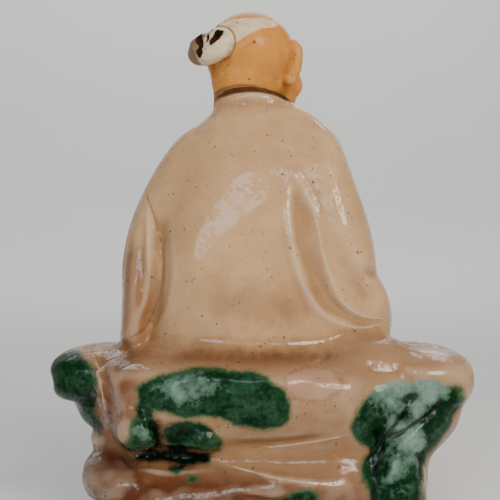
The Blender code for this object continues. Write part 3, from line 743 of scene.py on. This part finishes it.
# painted shade: patches darkened where the figure lies in shade, down its left side, low on the back and under
# the hem, low on the rock, by the collar and on the crown
SHADE_PATCHES = [
    [(39, 16, 74, 8), (37, 20, 62, 10), (39, 20, 52, 9)],
    [(20, 30, 49, 5), (2, 32, 49, 5), (-18, 30, 49, 4)],
    [(26, 33, 66, 7), (0, 34.5, 63, 9), (-18, 33, 65, 7)],
    [(38, 30, 46, 6), (42, 28, 36, 7), (46, 26, 26, 9)],
    [(-9, 10, 121, 2), (2, 13, 121, 3), (13, 8, 120, 2)],
    [(10, -4, 149, 5), (2, -4, 151, 7), (-6, -8, 149, 6)],
    [(38, 34, 42, 6), (36, 38, 36, 4)],
    [(46, 26, 14, 14), (34, 38, 8, 15), (14, 42, 8, 14), (-8, 42, 5, 12), (-22, 38, 3, 9)],
    [(-44, 22, 2, 9), (-20, -34, 2, 10), (10, -38, 2, 10), (36, -26, 4, 10)],
]
# a pale pink oval painted on the ledge as a reflection of the window, with a burnt rim of darker glaze round it
SHEEN_OVAL = [
    (-14.3 + 8.0 * math.cos(t), 41.0 + 4.6 * math.sin(t))
    for t in np.linspace(0, 2 * math.pi, 12, endpoint=False)
]
# on the face of the bun: dark pits, and the brown stain round them
BUN_PITS = [
    [(4.4, -2.3, 0.9), (3.9, -0.5, 1.2), (1.9, 1.6, 1.0), (1.3, 3.4, 1.1), (-0.6, 5.8, 1.2)],
    [(-3.2, -1.6, 1.3), (-3.6, 0.2, 2.3), (-3.8, 2.4, 1.4)],
    [(-4.8, -1.4, 1.2), (-5.1, 0.4, 1.7), (-4.8, 2.0, 1.1)],
    [(0.9, -1.6, 0.6), (0.1, -0.1, 0.6), (-0.4, 1.0, 0.5)],
]
BUN_STAIN = [(0.2, -4.8, 2.2), (4.0, -3.4, 2.9), (6.0, 0.4, 3.4), (4.8, 4.4, 3.2), (2.2, 6.8, 2.2)]


def beside(spots, a, b):
    """The way from a to b, and each spot's share along it and offset from the nearest point of it."""
    way = b - a
    share = np.clip((spots - a) @ way / max(way @ way, 1e-12), 0, 1)
    return way, share, spots - a - share[:, None] * way


def seen_along(points, normals, frame, side, path, reach):
    """The points near a path as seen from one side, their gap to it (minus on its right), the share along it,
    and how squarely they face that side."""
    across, up, depth, sign = side
    turned = normals @ np.array(frame)[:3, :3]
    facing = sign * turned[:, depth] / np.maximum(np.linalg.norm(turned, axis=1), 1e-12)
    line = smooth_line(path)
    seen = inside(frame, points)[:, (across, up)]
    near = ((seen > line.min(0) - reach) & (seen < line.max(0) + reach)).all(1) & (facing > 0)
    seen = seen[near]
    best = np.full(len(seen), np.inf)
    along = np.zeros(len(seen))
    for i, (a, b) in enumerate(zip(line, line[1:])):
        way, share, off = beside(seen, a, b)
        gap = np.linalg.norm(off, axis=1)
        closer = gap < np.abs(best)
        hand = np.where(way[0] * off[:, 1] < way[1] * off[:, 0], -1, 1)
        best[closer], along[closer] = (gap * hand)[closer], (i + share[closer]) / (len(line) - 1)
    return near, best, along, facing[near]


def carve(points, normals, frame, side, path, half_width, height):
    """Moves the points near a path, as seen from one side, along their normals. Both ends fade."""
    reach = 1.8 * half_width
    near, gap, along, facing = seen_along(points, normals, frame, side, path, reach)
    bell = np.clip(1 - (gap / reach) ** 2, 0, 1) ** 2
    fade = np.clip(4 * np.minimum(along, 1 - along) + 0.12, 0, 1)
    push = frame.to_scale()[side[2]] * height * bell * fade * np.clip(facing * 2, 0, 1)
    points[near] += normals[near] * push[:, None]


def line_map(points, normals, strokes, at):
    """Gap to the nearest of some strokes in millimetres, minus on its right hand."""
    best = np.full(len(points), FAR)
    for place, side, path, *_ in strokes:
        near, gap, _, _ = seen_along(points, normals, getattr(at, place), side, path, 5.0)
        gap = gap * getattr(at, place).to_scale()[side[2]] / MM
        spot = np.flatnonzero(near)
        closer = np.abs(gap) < np.abs(best[spot])
        best[spot[closer]] = gap[closer]
    return best


# Fusing


def evaluated(body):
    """The object's mesh with its modifiers applied."""
    graph = bpy.context.evaluated_depsgraph_get()
    return bpy.data.meshes.new_from_object(body.evaluated_get(graph))


def new_body(name, clay):
    """An object of the overlapping shells, with the clay used up."""
    bmesh.ops.recalc_face_normals(clay, faces=clay.faces[:])
    mesh = bpy.data.meshes.new(name)
    clay.to_mesh(mesh)
    clay.free()
    body = bpy.data.objects.new(name, mesh)
    bpy.context.collection.objects.link(body)
    return body


def soften(body, times):
    smooth = body.modifiers.new("Soften", "SMOOTH")
    smooth.iterations = times
    smooth.factor = 0.5


def bake(body):
    body.data = evaluated(body)
    body.modifiers.clear()


def fuse(body, grain, times):
    """One skin over all the overlapping shells."""
    remesh = body.modifiers.new("Fuse", "REMESH")
    remesh.mode = "VOXEL"
    remesh.voxel_size = grain
    soften(body, times)
    bake(body)


def surface_of(mesh):
    """Points and normals of a mesh as two arrays."""
    points = np.empty(len(mesh.vertices) * 3)
    normals = np.empty_like(points)
    mesh.vertices.foreach_get("co", points)
    mesh.vertices.foreach_get("normal", normals)
    return points.reshape(-1, 3), normals.reshape(-1, 3)


def move_to(mesh, points):
    mesh.vertices.foreach_set("co", points.ravel())
    mesh.update()


def inside(frame, points):
    """The points in a frame's own parts."""
    inward = np.array(frame.inverted())
    return points @ inward[:3, :3].T + inward[:3, 3]


# slow lumps of the rock and finer ones: how many to a metre, and how high
LUMPS = ((70.0, 0.0009), (240.0, 0.00022))
# how far and how often a point moves to the middle of its neighbours where the robe is eased
EASING, EASING_ROUNDS = 0.6, 70
# right elbow, in torso parts
ELBOW_AT, ELBOW_REACH = (-29, 14, 16), (10, 14, 14)
# the band of hair, in millimetres, and how many grooves it is combed in
BAND_HEIGHT, COMB_DEPTH, COMB_WAVES = 0.40, 0.04, 4.5


def weather(points, normals, seat_height):
    """Lumps over the rock, and none on the figure."""
    share = np.clip((seat_height - points[:, 2]) / (0.1 * seat_height), 0, 1)
    lift = sum(height * np.array([noise.noise(Vector(p) * count) for p in points]) for count, height in LUMPS)
    points += normals * (lift * share)[:, None]


def neighbours(mesh):
    """A function that averages a value per point over the points joined to it."""
    pairs = np.empty(len(mesh.edges) * 2, np.int64)
    mesh.edges.foreach_get("vertices", pairs)
    a, b = pairs.reshape(-1, 2).T
    total = len(mesh.vertices)
    count = np.maximum(np.bincount(a, minlength=total) + np.bincount(b, minlength=total), 1)

    def average(points):
        sums = [
            np.bincount(a, points[b, axis], total) + np.bincount(b, points[a, axis], total)
            for axis in range(3)
        ]
        return np.stack(sums, 1) / count[:, None]

    return average


def ease(body, at):
    """Lets the shoulders and the right elbow run into the back, and the hem at the back into the rock."""
    mesh = body.data
    points, _ = surface_of(mesh)
    average = neighbours(mesh)
    part = inside(at.torso, points)
    behind, height = part[:, 1], part[:, 2]
    shoulders = np.clip((height - 34) / 12, 0, 1) * np.clip((70 - height) / 3, 0, 1)
    shoulders *= np.clip((behind + 10) / 8, 0, 1)
    hem = np.clip(1 - np.abs(height + 0.5) / 4, 0, 1) * np.clip((behind - 12) / 6, 0, 1)
    elbow = np.clip(1.6 - np.linalg.norm((part - ELBOW_AT) / ELBOW_REACH, axis=1), 0, 1)
    share = EASING * np.maximum.reduce([shoulders, hem, elbow])[:, None]
    for _ in range(EASING_ROUNDS):
        points += share * (average(points) - points)
    move_to(mesh, points)


def press(body, strokes, at, sizes=None):
    """Carves the strokes into the body, after the weather where sizes are given."""
    mesh = body.data
    points, normals = surface_of(mesh)
    if sizes:
        weather(points, normals, sizes.seat_height)
    for place, *stroke in strokes:
        carve(points, normals, getattr(at, place), *stroke)
    move_to(mesh, points)


def comb(body, at):
    """Raises the band of hair over the crown and combs grooves along it."""
    mesh = body.data
    points, normals = surface_of(mesh)
    inner, share = hair_band(at, points)
    lift = np.clip(inner / 0.9 + 0.5, 0, 1)
    lift = lift * lift * (3 - 2 * lift)
    waves = np.cos(share * 2 * math.pi * COMB_WAVES)
    points += normals * (MM * lift * (BAND_HEIGHT - COMB_DEPTH * waves))[:, None]
    move_to(mesh, points)


def join(body, head):
    """The two skins as one closed skin."""
    union = body.modifiers.new("Join", "BOOLEAN")
    union.operation = "UNION"
    union.solver = "MANIFOLD"
    union.object = head
    bake(body)
    bpy.data.objects.remove(head)


def cut_flat(body):
    """Cuts the foot flat at the ground and closes it."""
    skin = bmesh.new()
    skin.from_mesh(body.data)
    whole = skin.verts[:] + skin.edges[:] + skin.faces[:]
    ground = {"plane_co": (0, 0, 0), "plane_no": (0, 0, 1)}
    cut = bmesh.ops.bisect_plane(skin, geom=whole, clear_inner=True, **ground)
    rim = [e for e in cut["geom_cut"] if isinstance(e, bmesh.types.BMEdge)]
    bmesh.ops.holes_fill(skin, edges=rim)
    bmesh.ops.triangulate(skin, faces=[f for f in skin.faces if len(f.verts) > 4])
    skin.to_mesh(body.data)
    skin.free()


# Where each glaze was brushed, and where shade, highlights and reflections are painted. Every map is a distance
# in millimetres, above zero inside its patch

# half-width, in a frame's parts, up to which a stroke also gets a painted line: a highlight along a raised
# stroke, shade along a cut one
THIN = 1.0

# edges of the band of hair: degrees round from behind, and degrees up from the middle of the skull
BAND_LOW = ((0, 18, 24, 33, 42, 56, 68, 80, 92, 104), (-6, -8, -6, 1, 10, 21, 26, 33, 46, 70))
BAND_HIGH = ((0, 7, 28, 44, 56, 71, 83, 96, 104), (26, 29, 33, 37, 40.5, 42, 43, 40, 20))


def hair_band(at, points):
    """Distance inside the band of hair that is swept over the crown to the bun, and the share across it."""
    local = inside(at.head, points) - SKULL_AT
    reach = np.maximum(np.linalg.norm(local, axis=1), 1e-6)
    around = np.abs(np.degrees(np.arctan2(local[:, 0], local[:, 1])))
    lift = np.degrees(np.arcsin(local[:, 2] / reach))
    low, high = np.interp(around, *BAND_LOW), np.interp(around, *BAND_HIGH)
    gap = np.minimum(lift - low, high - lift) * np.radians(1) * reach
    return gap, (lift - low) / np.maximum(high - low, 4)


def patch(points, normals, outline):
    """Distance inside an outline drawn as seen from the photographed side, on its plane behind the figure."""
    eye = np.array(CAMERA_AT)
    ray = points - eye
    scale = (DRAWN_ON - eye[1]) / np.minimum(ray[:, 1], -0.05)
    seen = (eye + ray * scale[:, None])[:, (0, 2)] / MM
    line = smooth_line([*outline, outline[0]], 4)
    reach = 6.0
    near = ((seen > line.min(0) - reach) & (seen < line.max(0) + reach)).all(1) & (normals[:, 1] > -0.45)
    inner = np.full(len(points), -reach)
    spot = seen[near]
    gap = np.full(len(spot), reach)
    within = np.zeros(len(spot), bool)
    for a, b in zip(line, line[1:]):
        way, _, off = beside(spot, a, b)
        gap = np.minimum(gap, np.linalg.norm(off, axis=1))
        if a[1] != b[1]:
            crosses = (a[1] > spot[:, 1]) != (b[1] > spot[:, 1])
            within ^= crosses & (spot[:, 0] < a[0] + (spot[:, 1] - a[1]) / (b[1] - a[1]) * way[0])
    inner[near] = np.where(within, gap, -gap)
    return inner


def drops(spots, lines):
    """Distance inside the nearest of some lines of drops. A row is where a drop is, then its radius."""
    best = np.full(len(spots), -FAR)
    for line in lines:
        for *place, radius in smooth_line(line, 6):
            best = np.maximum(best, radius - np.linalg.norm(spots - place, axis=1))
    return best


def tree_of(at, *forms):
    """The shells of some forms, ready to be measured to."""
    clay = bmesh.new()
    for form in forms:
        form(clay, at)
    tree = BVHTree.FromBMesh(clay)
    clay.free()
    return tree


def brush_maps(body, at):
    """Works out the glaze maps and keeps them on the body as attributes."""
    mesh = body.data
    points, normals = surface_of(mesh)
    groups = {
        "skin": tree_of(at, hands, face_forms, ears),
        "white": tree_of(at, brows, bun, beard),
        "brown": tree_of(at, collar_rim),
        "robe": tree_of(at, torso, lap, arms),
        "rock": tree_of(at, rock),
    }
    gaps = {}
    for name, tree in groups.items():
        gaps[name] = np.array([tree.find_nearest(p)[3] for p in map(Vector, points)]) / MM
    maps = {}
    for name in ("skin", "white", "brown", "rock"):
        others = np.minimum.reduce([gaps[other] for other in gaps if other != name])
        maps[name] = (others - gaps[name]) / 2
    band = hair_band(at, points)[0]
    maps["white"] = np.where(maps["skin"] > 0.2, np.maximum(maps["white"], band), maps["white"])
    cast = points / MM
    splashes = [patch(points, normals, outline) for outline in SPLASHES]
    maps["green"] = np.maximum.reduce([*splashes, drops(cast, TRAILS)])
    bun_spots = inside(at.bun, points)
    on_bun = (bun_spots[:, 2] > -1.0) & (bun_spots[:, 2] < 5)
    maps["pit"] = np.where(on_bun, drops(bun_spots[:, :2], BUN_PITS), -FAR)
    maps["stain"] = np.where(on_bun, drops(bun_spots[:, :2], [BUN_STAIN]), -FAR)
    seam = 0.35 - np.abs(gaps["white"] - gaps["skin"]) / 2
    maps["seam"] = np.where(np.linalg.norm(bun_spots, axis=1) < 12, seam, -FAR)
    maps["hollow"] = hollows(mesh, points, normals)
    maps["cloud_and_sheen"] = drops(cast, CLOUDS_AND_SHEEN)
    maps["painted_shade"] = drops(cast, SHADE_PATCHES)
    maps["sheen_oval"] = patch(points, normals, SHEEN_OVAL)
    thin = [stroke for stroke in ROBE_STROKES + ROCK_STROKES if stroke[3] <= THIN]
    maps["crest"] = line_map(points, normals, [stroke for stroke in thin if stroke[4] > 0], at)
    maps["groove"] = line_map(points, normals, [stroke for stroke in thin if stroke[4] < 0], at)
    for name, values in maps.items():
        layer = mesh.attributes.new(name, "FLOAT", "POINT")
        layer.data.foreach_set("value", np.clip(values, -FAR, FAR).astype(np.float32))


def hollows(mesh, points, normals):
    """How far each point lies under the surface averaged over its neighbours, in tenths of a millimetre."""
    average = neighbours(mesh)
    eased = points.copy()
    for _ in range(12):
        eased += 0.7 * (average(eased) - eased)
    return ((eased - points) * normals).sum(1) / MM * 10


# Glaze


class Wire:
    """A socket. Sums and products of wires add Math nodes."""

    def __init__(self, kit, socket):
        self.kit, self.socket = kit, socket

    def math(self, operation, *others, clamp=False):
        settings = {"operation": operation, "use_clamp": clamp}
        return self.kit.node("ShaderNodeMath", settings, dict(enumerate((self, *others))))

    def __add__(self, other):
        return self.math("ADD", other)

    __radd__ = __add__

    def __sub__(self, other):
        return self.math("SUBTRACT", other)

    def __rsub__(self, other):
        return (self * -1) + other

    def __mul__(self, other):
        return self.math("MULTIPLY", other)

    __rmul__ = __mul__

    def clamp(self):
        return self.math("ADD", 0.0, clamp=True)

    def most(self, other):
        return self.math("MAXIMUM", other)


# sockets of a Mix node that mixes colours
MIX_SHARE, MIX_UNDER, MIX_OVER, MIX_RESULT = 0, 6, 7, 2


class Kit:
    """The nodes of one material."""

    def __init__(self, name):
        self.material = bpy.data.materials.new(name)
        self.material.use_nodes = True
        self.tree = self.material.node_tree
        self.shader = self.tree.nodes["Principled BSDF"]

    def node(self, kind, settings=None, inputs=None, output=0):
        """A node of a type, with its settings made first, then the values or links of its sockets."""
        made = self.tree.nodes.new(kind)
        for name, value in (settings or {}).items():
            setattr(made, name, value)
        for key, value in (inputs or {}).items():
            self.set(made.inputs[key], value)
        return Wire(self, made.outputs[output])

    def set(self, socket, value):
        if isinstance(value, Wire):
            self.tree.links.new(value.socket, socket)
        elif socket.type == "RGBA":
            socket.default_value = (*value, 1.0)
        else:
            socket.default_value = value

    def map(self, name):
        return self.node("ShaderNodeAttribute", {"attribute_name": name}, output="Fac")

    def mix(self, share, under, over, blend="MIX"):
        """One colour over another by a share."""
        settings = {"data_type": "RGBA", "blend_type": blend, "clamp_factor": True}
        sockets = {MIX_SHARE: share, MIX_UNDER: under, MIX_OVER: over}
        return self.node("ShaderNodeMix", settings, sockets, MIX_RESULT)

    def clouds(self, where, scale, detail, rough=0.5):
        """Soft noise around zero, with a scale in spots to one unit of where."""
        sockets = {"Vector": where, "Scale": scale, "Detail": detail, "Roughness": rough}
        return self.node("ShaderNodeTexNoise", inputs=sockets) - 0.5

    def cells(self, where, scale):
        """Distance to the nearest of scattered spots."""
        return self.node("ShaderNodeTexVoronoi", inputs={"Vector": where, "Scale": scale})

    def finish(self, **sockets):
        for name, value in sockets.items():
            self.set(self.shader.inputs[name.replace("_", " ")], value)
        return self.material


def glaze(colours):
    """Thick splashed glaze over a cream ground, bare clay under the foot, with shade, highlights and
    reflections painted in.
    """
    kit = Kit("splashed_glaze")
    here = kit.node("ShaderNodeTexCoord", output="Object")
    where = kit.node("ShaderNodeVectorMath", {"operation": "SCALE"}, {"Vector": here, "Scale": 1 / MM})
    height = kit.node("ShaderNodeSeparateXYZ", inputs={"Vector": where}, output="Z")
    slow = kit.clouds(where, 0.035, 2.0)
    mid = kit.clouds(where, 0.16, 4.0, 0.6)
    fine = kit.clouds(where, 0.9, 4.0, 0.6)
    sharp = kit.clouds(where, 3.2, 3.0, 0.6)
    hollow = kit.map("hollow")
    pool = (hollow * 0.42 - 0.12 + fine * 0.3).clamp()
    thin = (hollow * -0.45 - 0.35 + fine * 0.4).clamp()

    # cream ground, buff on the rock, with painted shade that darkens the rock low down and in a band just under
    # the robe
    rock = kit.map("rock")
    rock_share = (rock * 0.22 + 0.4 + fine * 0.5 + mid * 0.8).clamp()
    cream = kit.mix((slow * 2.6 + mid * 1.4 + 0.4).clamp(), colours.cream, paint(185, 143, 99))
    buff = kit.mix((mid * 3.0 + slow * 2.0 + 0.4).clamp(), colours.buff, paint(169, 134, 97))
    # painted shade: the rock darker towards the bottom
    low = (height * -0.036 + 1.05 + mid * 0.9).clamp()
    buff = kit.mix(low * 0.85, buff, paint(104, 62, 36))
    # painted shade: a darker band on the upper rock just under the robe
    shade = (rock * -0.16 + 1.0 + mid * 1.2).clamp() * (height * 0.12 - 4.2).clamp()
    buff = kit.mix(shade * 0.5, buff, paint(108, 70, 46))
    # painted reflection: a pale pink oval on the ledge, ringed by a burnt rim of darker glaze
    sheen_oval = kit.map("sheen_oval") + fine * 2.6 + mid * 1.6
    buff = kit.mix((sheen_oval * 0.5 + 0.3).clamp() * 0.42, buff, paint(186, 142, 120))
    burnt = (sheen_oval.math("ABSOLUTE") * -1.3 + 1.0).clamp() * (sharp * 5.0 + fine * 3.0 + 0.5).clamp()
    buff = kit.mix(burnt * 0.75, buff, paint(126, 66, 36))
    colour = kit.mix(rock_share, cream, buff)
    # painted shade: darker and browner in the patches where the figure lies in shade
    painted_shade = (kit.map("painted_shade") * 0.13 + 0.25 + mid * 0.8).clamp()
    browner = kit.mix(rock_share, paint(178, 150, 134), paint(160, 108, 76))
    colour = kit.mix(painted_shade * 0.85, colour, browner, "MULTIPLY")
    colour = kit.mix(pool * 0.5, colour, colours.ochre)
    colour = kit.mix(thin * 0.35, colour, paint(214, 188, 156))

    skin_share = (kit.map("skin") * 3.0 + 0.5 + sharp * 0.5).clamp()
    skin = kit.mix((mid * 2.6 + fine * 1.0 + 0.45).clamp(), colours.skin, paint(196, 126, 54))
    skin = kit.mix(pool * 0.55, skin, paint(128, 66, 26))
    skin = kit.mix(thin * 0.3, skin, paint(222, 166, 104))
    # painted shade on the skin as well
    skin = kit.mix(painted_shade * 0.8, skin, paint(164, 112, 96), "MULTIPLY")
    colour = kit.mix(skin_share, colour, skin)

    white_share = (kit.map("white") * 3.0 + 0.5 + sharp * 0.6).clamp()
    white = kit.mix((mid * 2.5 + 0.4).clamp(), colours.white, paint(206, 178, 136))
    white = kit.mix(pool * 0.5, white, paint(140, 104, 66))
    stain = (kit.map("stain") * 0.8 + 0.3 + fine * 2.2 + sharp * 0.8).clamp()
    white = kit.mix(stain * 0.85, white, paint(104, 68, 38))
    colour = kit.mix(white_share, colour, white)

    brown_share = (kit.map("brown") * 2.6 + 0.85 + sharp * 0.3).clamp()
    brown = kit.mix((mid * 3.0 + 0.5).clamp(), colours.brown, paint(104, 66, 38))
    colour = kit.mix(brown_share, colour, brown)
    colour = kit.mix((kit.map("seam") * 3.0 + sharp * 0.6).clamp() * 0.8, colour, paint(74, 48, 28))
    pit_share = (kit.map("pit") * 3.0 + 0.5 + sharp * 0.9).clamp()
    pit = kit.mix((mid * 4.0 + 0.4).clamp(), paint(40, 22, 14), paint(70, 30, 20))
    colour = kit.mix(pit_share, colour, pit)

    # a painted highlight along each crest; in each groove a darker line, partly painted shade and partly glaze
    # lying thicker
    crest = (kit.map("crest").math("ABSOLUTE") * -2.8 + 1.05).clamp() * (fine * 2.4 + 0.8).clamp()
    groove = (kit.map("groove").math("ABSOLUTE") * -2.8 + 1.05).clamp() * (fine * 2.0 + 0.8).clamp()
    crest, groove = crest * (1 - white_share), groove * (1 - white_share)
    colour = kit.mix(crest * 0.6, colour, paint(222, 200, 166))
    colour = kit.mix(groove * 0.6, colour, paint(104, 64, 36))

    # green: dark where it lies thick, pale and cloudy where it ran thin and where a reflection is painted
    ragged = kit.map("green") + fine * 1.1 + mid * 3.0 + sharp * 0.2
    green_share = (ragged * 0.7 + 0.5).clamp()
    depth = (ragged * 0.8 + 0.1 + pool * 0.6 - thin * 0.8 + mid * 1.6 + fine * 1.2).clamp()
    deep = kit.mix((mid * 3.6 + fine * 2.4 + 0.3).clamp() * 0.7, colours.green, paint(42, 84, 54))
    green = kit.mix(depth, colours.thin_green, deep)
    # pale cloudy green, partly thin glaze and partly a painted reflection
    cloudy = (kit.map("cloud_and_sheen") * 0.20 + mid * 3.4 + fine * 1.2 - 0.1).clamp() * (fine * -1.6 + 0.9).clamp()
    green = kit.mix(cloudy * 0.85, green, paint(128, 156, 138))
    green = kit.mix((pool * 1.3 - 0.2).clamp() * 0.85, green, paint(6, 12, 6))
    colour = kit.mix(green_share, colour, green)

    # pinholes where gas broke through, and dark specks
    crowd = kit.clouds(where, 0.11, 2.0)
    holes = (kit.cells(where, 0.42) * -8.0 + 1.06 + crowd * 3.2).clamp()
    wide = (kit.cells(where, 0.13) * -16.0 + 0.95 + crowd * 3.0 + sharp * 0.6).clamp()
    holes = holes.most(wide) * (1 - green_share)
    colour = kit.mix(holes * 0.92, colour, paint(62, 36, 20))

    # foot: bare clay with a ragged edge of glaze
    bare = (height * -2.2 + 1.6 + fine * 3.0).clamp()
    colour = kit.mix(bare, colour, colours.clay)

    # gloss in patches, less of it on skin and green, and the small swells that break up a reflection
    gloss = (mid * 6.0 + fine * 4.6 + sharp * 2.0 + 0.55).clamp()
    rough = 0.44 - gloss * 0.10 + holes * 0.4 + bare * 0.5 - green_share * 0.10 + pit_share * 0.3
    swell = mid * 0.6 + fine * 0.2 + sharp * 0.02 + green_share * 0.05 - holes * 0.35 + bare * sharp * 0.4
    swell = swell + crest * 0.5 - groove * 0.5
    normal = kit.node("ShaderNodeBump", inputs={"Strength": 0.5, "Distance": 0.0004, "Height": swell})
    dull = (green_share * 0.65).most(skin_share * 0.75)
    coat = (1 - bare) * (1 - pit_share) * (1 - dull) * (gloss * 0.9 + 0.04)
    return kit.finish(
        Base_Color=colour,
        Roughness=rough.clamp(),
        Normal=normal,
        Coat_Weight=coat.clamp(),
        Coat_Roughness=0.09,
        Specular_IOR_Level=0.04,
    )


def paper(colour):
    """Matt floor with the faint tooth of paper."""
    kit = Kit("studio_paper")
    here = kit.node("ShaderNodeTexCoord", output="Object")
    tooth = kit.clouds(here, 700.0, 2.0)
    shade = kit.clouds(here, 3.0, 2.0)
    tone = kit.mix((shade + 0.5).clamp(), colour, tuple(0.93 * c for c in colour))
    normal = kit.node("ShaderNodeBump", inputs={"Strength": 0.1, "Distance": 0.0002, "Height": tooth})
    return kit.finish(Base_Color=tone, Roughness=0.85, Normal=normal)


# Making the figure and the studio


def body_clay(sizes, at):
    """Rock, robe, hands and collar as one carved skin."""
    clay = bmesh.new()
    for form in (rock, torso, lap, hands, collar, arms):
        form(clay, at)
    body = new_body("sage_cast", clay)
    fuse(body, sizes.body_grain, BODY_SMOOTHING)
    ease(body, at)
    press(body, STROKES, at, sizes)
    soften(body, 2)
    bake(body)
    press(body, ROBE_STROKES + ROCK_STROKES, at)
    soften(body, 1)
    bake(body)
    return body


def head_clay(sizes, at):
    """Head, hair and beard as one carved skin, finer than the rest."""
    clay = bmesh.new()
    for form in (face_forms, ears, brows, bun, beard):
        form(clay, at)
    body = new_body("sage_head", clay)
    fuse(body, sizes.head_grain, HEAD_SMOOTHING)
    press(body, [stroke for stroke in STROKES if stroke[0] == "head"] + face_strokes() + hair_strokes(), at)
    comb(body, at)
    soften(body, 1)
    bake(body)
    return body


class SAGE_OT_cast(bpy.types.Operator):
    """Model the seated sage, fuse the clay into one cast piece and glaze it"""

    bl_idname = "sage.cast"
    bl_label = "Cast the sage"
    bl_options = {"REGISTER", "UNDO"}

    def execute(self, context):
        sizes = context.scene.sage_sizes
        at = Places(sizes)
        body = body_clay(sizes, at)
        join(body, head_clay(sizes, at))
        cut_flat(body)
        brush_maps(body, at)
        body.data.materials.clear()
        body.data.materials.append(glaze(context.scene.sage_glazes))
        body.data.shade_smooth()
        if not body.data.polygons:
            raise RuntimeError("the skins did not join")
        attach(body, "root")
        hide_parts(NODE)
        return {"FINISHED"}


# the floor, from its middle out to where it rises behind the view: reach and height
FLOOR = [(0.02, 0), (0.5, 0), (1.0, 0), (1.5, 0.06), (2.0, 0.32), (2.4, 0.9), (2.6, 1.7)]
WARM, WHITE, COOL = (1.0, 0.93, 0.84), (1.0, 1.0, 1.0), (0.80, 0.88, 1.0)


def lamp(name, place, aim, size, watts, tint=WHITE, roll=0.0):
    """An oval lamp turned towards its aim, and rolled by degrees about that line."""
    data = bpy.data.lights.new(name, "AREA")
    data.shape = "ELLIPSE"
    data.size, data.size_y = size
    data.energy = watts
    data.color = tint
    made = bpy.data.objects.new(name, data)
    made.location = place
    turn = (Vector(aim) - Vector(place)).to_track_quat("-Z", "Y")
    made.rotation_euler = (turn @ Quaternion((0, 0, 1), math.radians(roll))).to_euler()
    bpy.context.collection.objects.link(made)


class SAGE_OT_studio(bpy.types.Operator):
    """Set up the pale floor, the soft lights and the camera"""

    bl_idname = "sage.studio"
    bl_label = "Set up the studio"
    bl_options = {"REGISTER", "UNDO"}

    def execute(self, context):
        studio = context.scene.sage_studio
        bowl = bmesh.new()
        rings = [
            [(reach * math.cos(t), reach * math.sin(t), height) for t in turns(96)]
            for reach, height in smooth_line(FLOOR, 8)
        ]
        shell(bowl, Matrix(), rings, lid=False)
        floor = new_body("studio_floor", bowl)
        floor.data.materials.append(paper(tuple(studio.floor)))
        floor.data.shade_smooth()

        aim = (0.0, 0.0, 0.08)
        lamp("key", (-0.27, 0.42, 0.41), (0, 0, 0.10), (0.27, 0.27), studio.key, WARM)
        lamp("window", (0.34, 1.15, 0.72), aim, (1.50, 0.44), studio.window, COOL, roll=35)
        lamp("fill", (-0.1, -1.3, 0.9), aim, (0.9, 0.9), studio.fill)
        lamp("overhead", (0, -1.7, 1.8), (0, -1.9, 0), (2.4, 1.6), studio.overhead)
        world = bpy.data.worlds.new("studio_air")
        context.scene.world = world
        world.use_nodes = True
        air = world.node_tree.nodes["Background"]
        air.inputs["Color"].default_value = (0.92, 0.95, 1.0, 1.0)
        air.inputs["Strength"].default_value = 0.11

        lens = bpy.data.cameras.new("camera")
        lens.sensor_width = SENSOR
        lens.lens = LENS
        camera = bpy.data.objects.new("camera", lens)
        camera.location = CAMERA_AT
        camera.rotation_euler = CAMERA_TURN
        context.collection.objects.link(camera)
        context.scene.camera = camera
        return {"FINISHED"}


class SAGE_PT_panel(bpy.types.Panel):
    """Sizes, glazes and studio of the sage"""

    bl_idname = "SAGE_PT_panel"
    bl_label = "Glazed Sage"
    bl_space_type = "VIEW_3D"
    bl_region_type = "UI"
    bl_category = "Sage"

    def draw(self, context):
        scene = context.scene
        for group in (scene.sage_sizes, scene.sage_glazes, scene.sage_studio):
            box = self.layout.box()
            for name in group.bl_rna.properties.keys():
                if name not in ("rna_type", "name"):
                    box.prop(group, name)
        self.layout.operator("sage.cast")
        self.layout.operator("sage.studio")


CLASSES = (SageSizes, SageGlazes, SageStudio, SAGE_OT_cast, SAGE_OT_studio, SAGE_PT_panel)


def register():
    for each in CLASSES:
        bpy.utils.register_class(each)
    bpy.types.Scene.sage_sizes = PointerProperty(type=SageSizes)
    bpy.types.Scene.sage_glazes = PointerProperty(type=SageGlazes)
    bpy.types.Scene.sage_studio = PointerProperty(type=SageStudio)


def unregister():
    del bpy.types.Scene.sage_sizes, bpy.types.Scene.sage_glazes, bpy.types.Scene.sage_studio
    for each in reversed(CLASSES):
        bpy.utils.unregister_class(each)


def main():
    register()
    bpy.ops.sage.cast()
    bpy.ops.sage.studio()


if __name__ == "__main__":
    main()
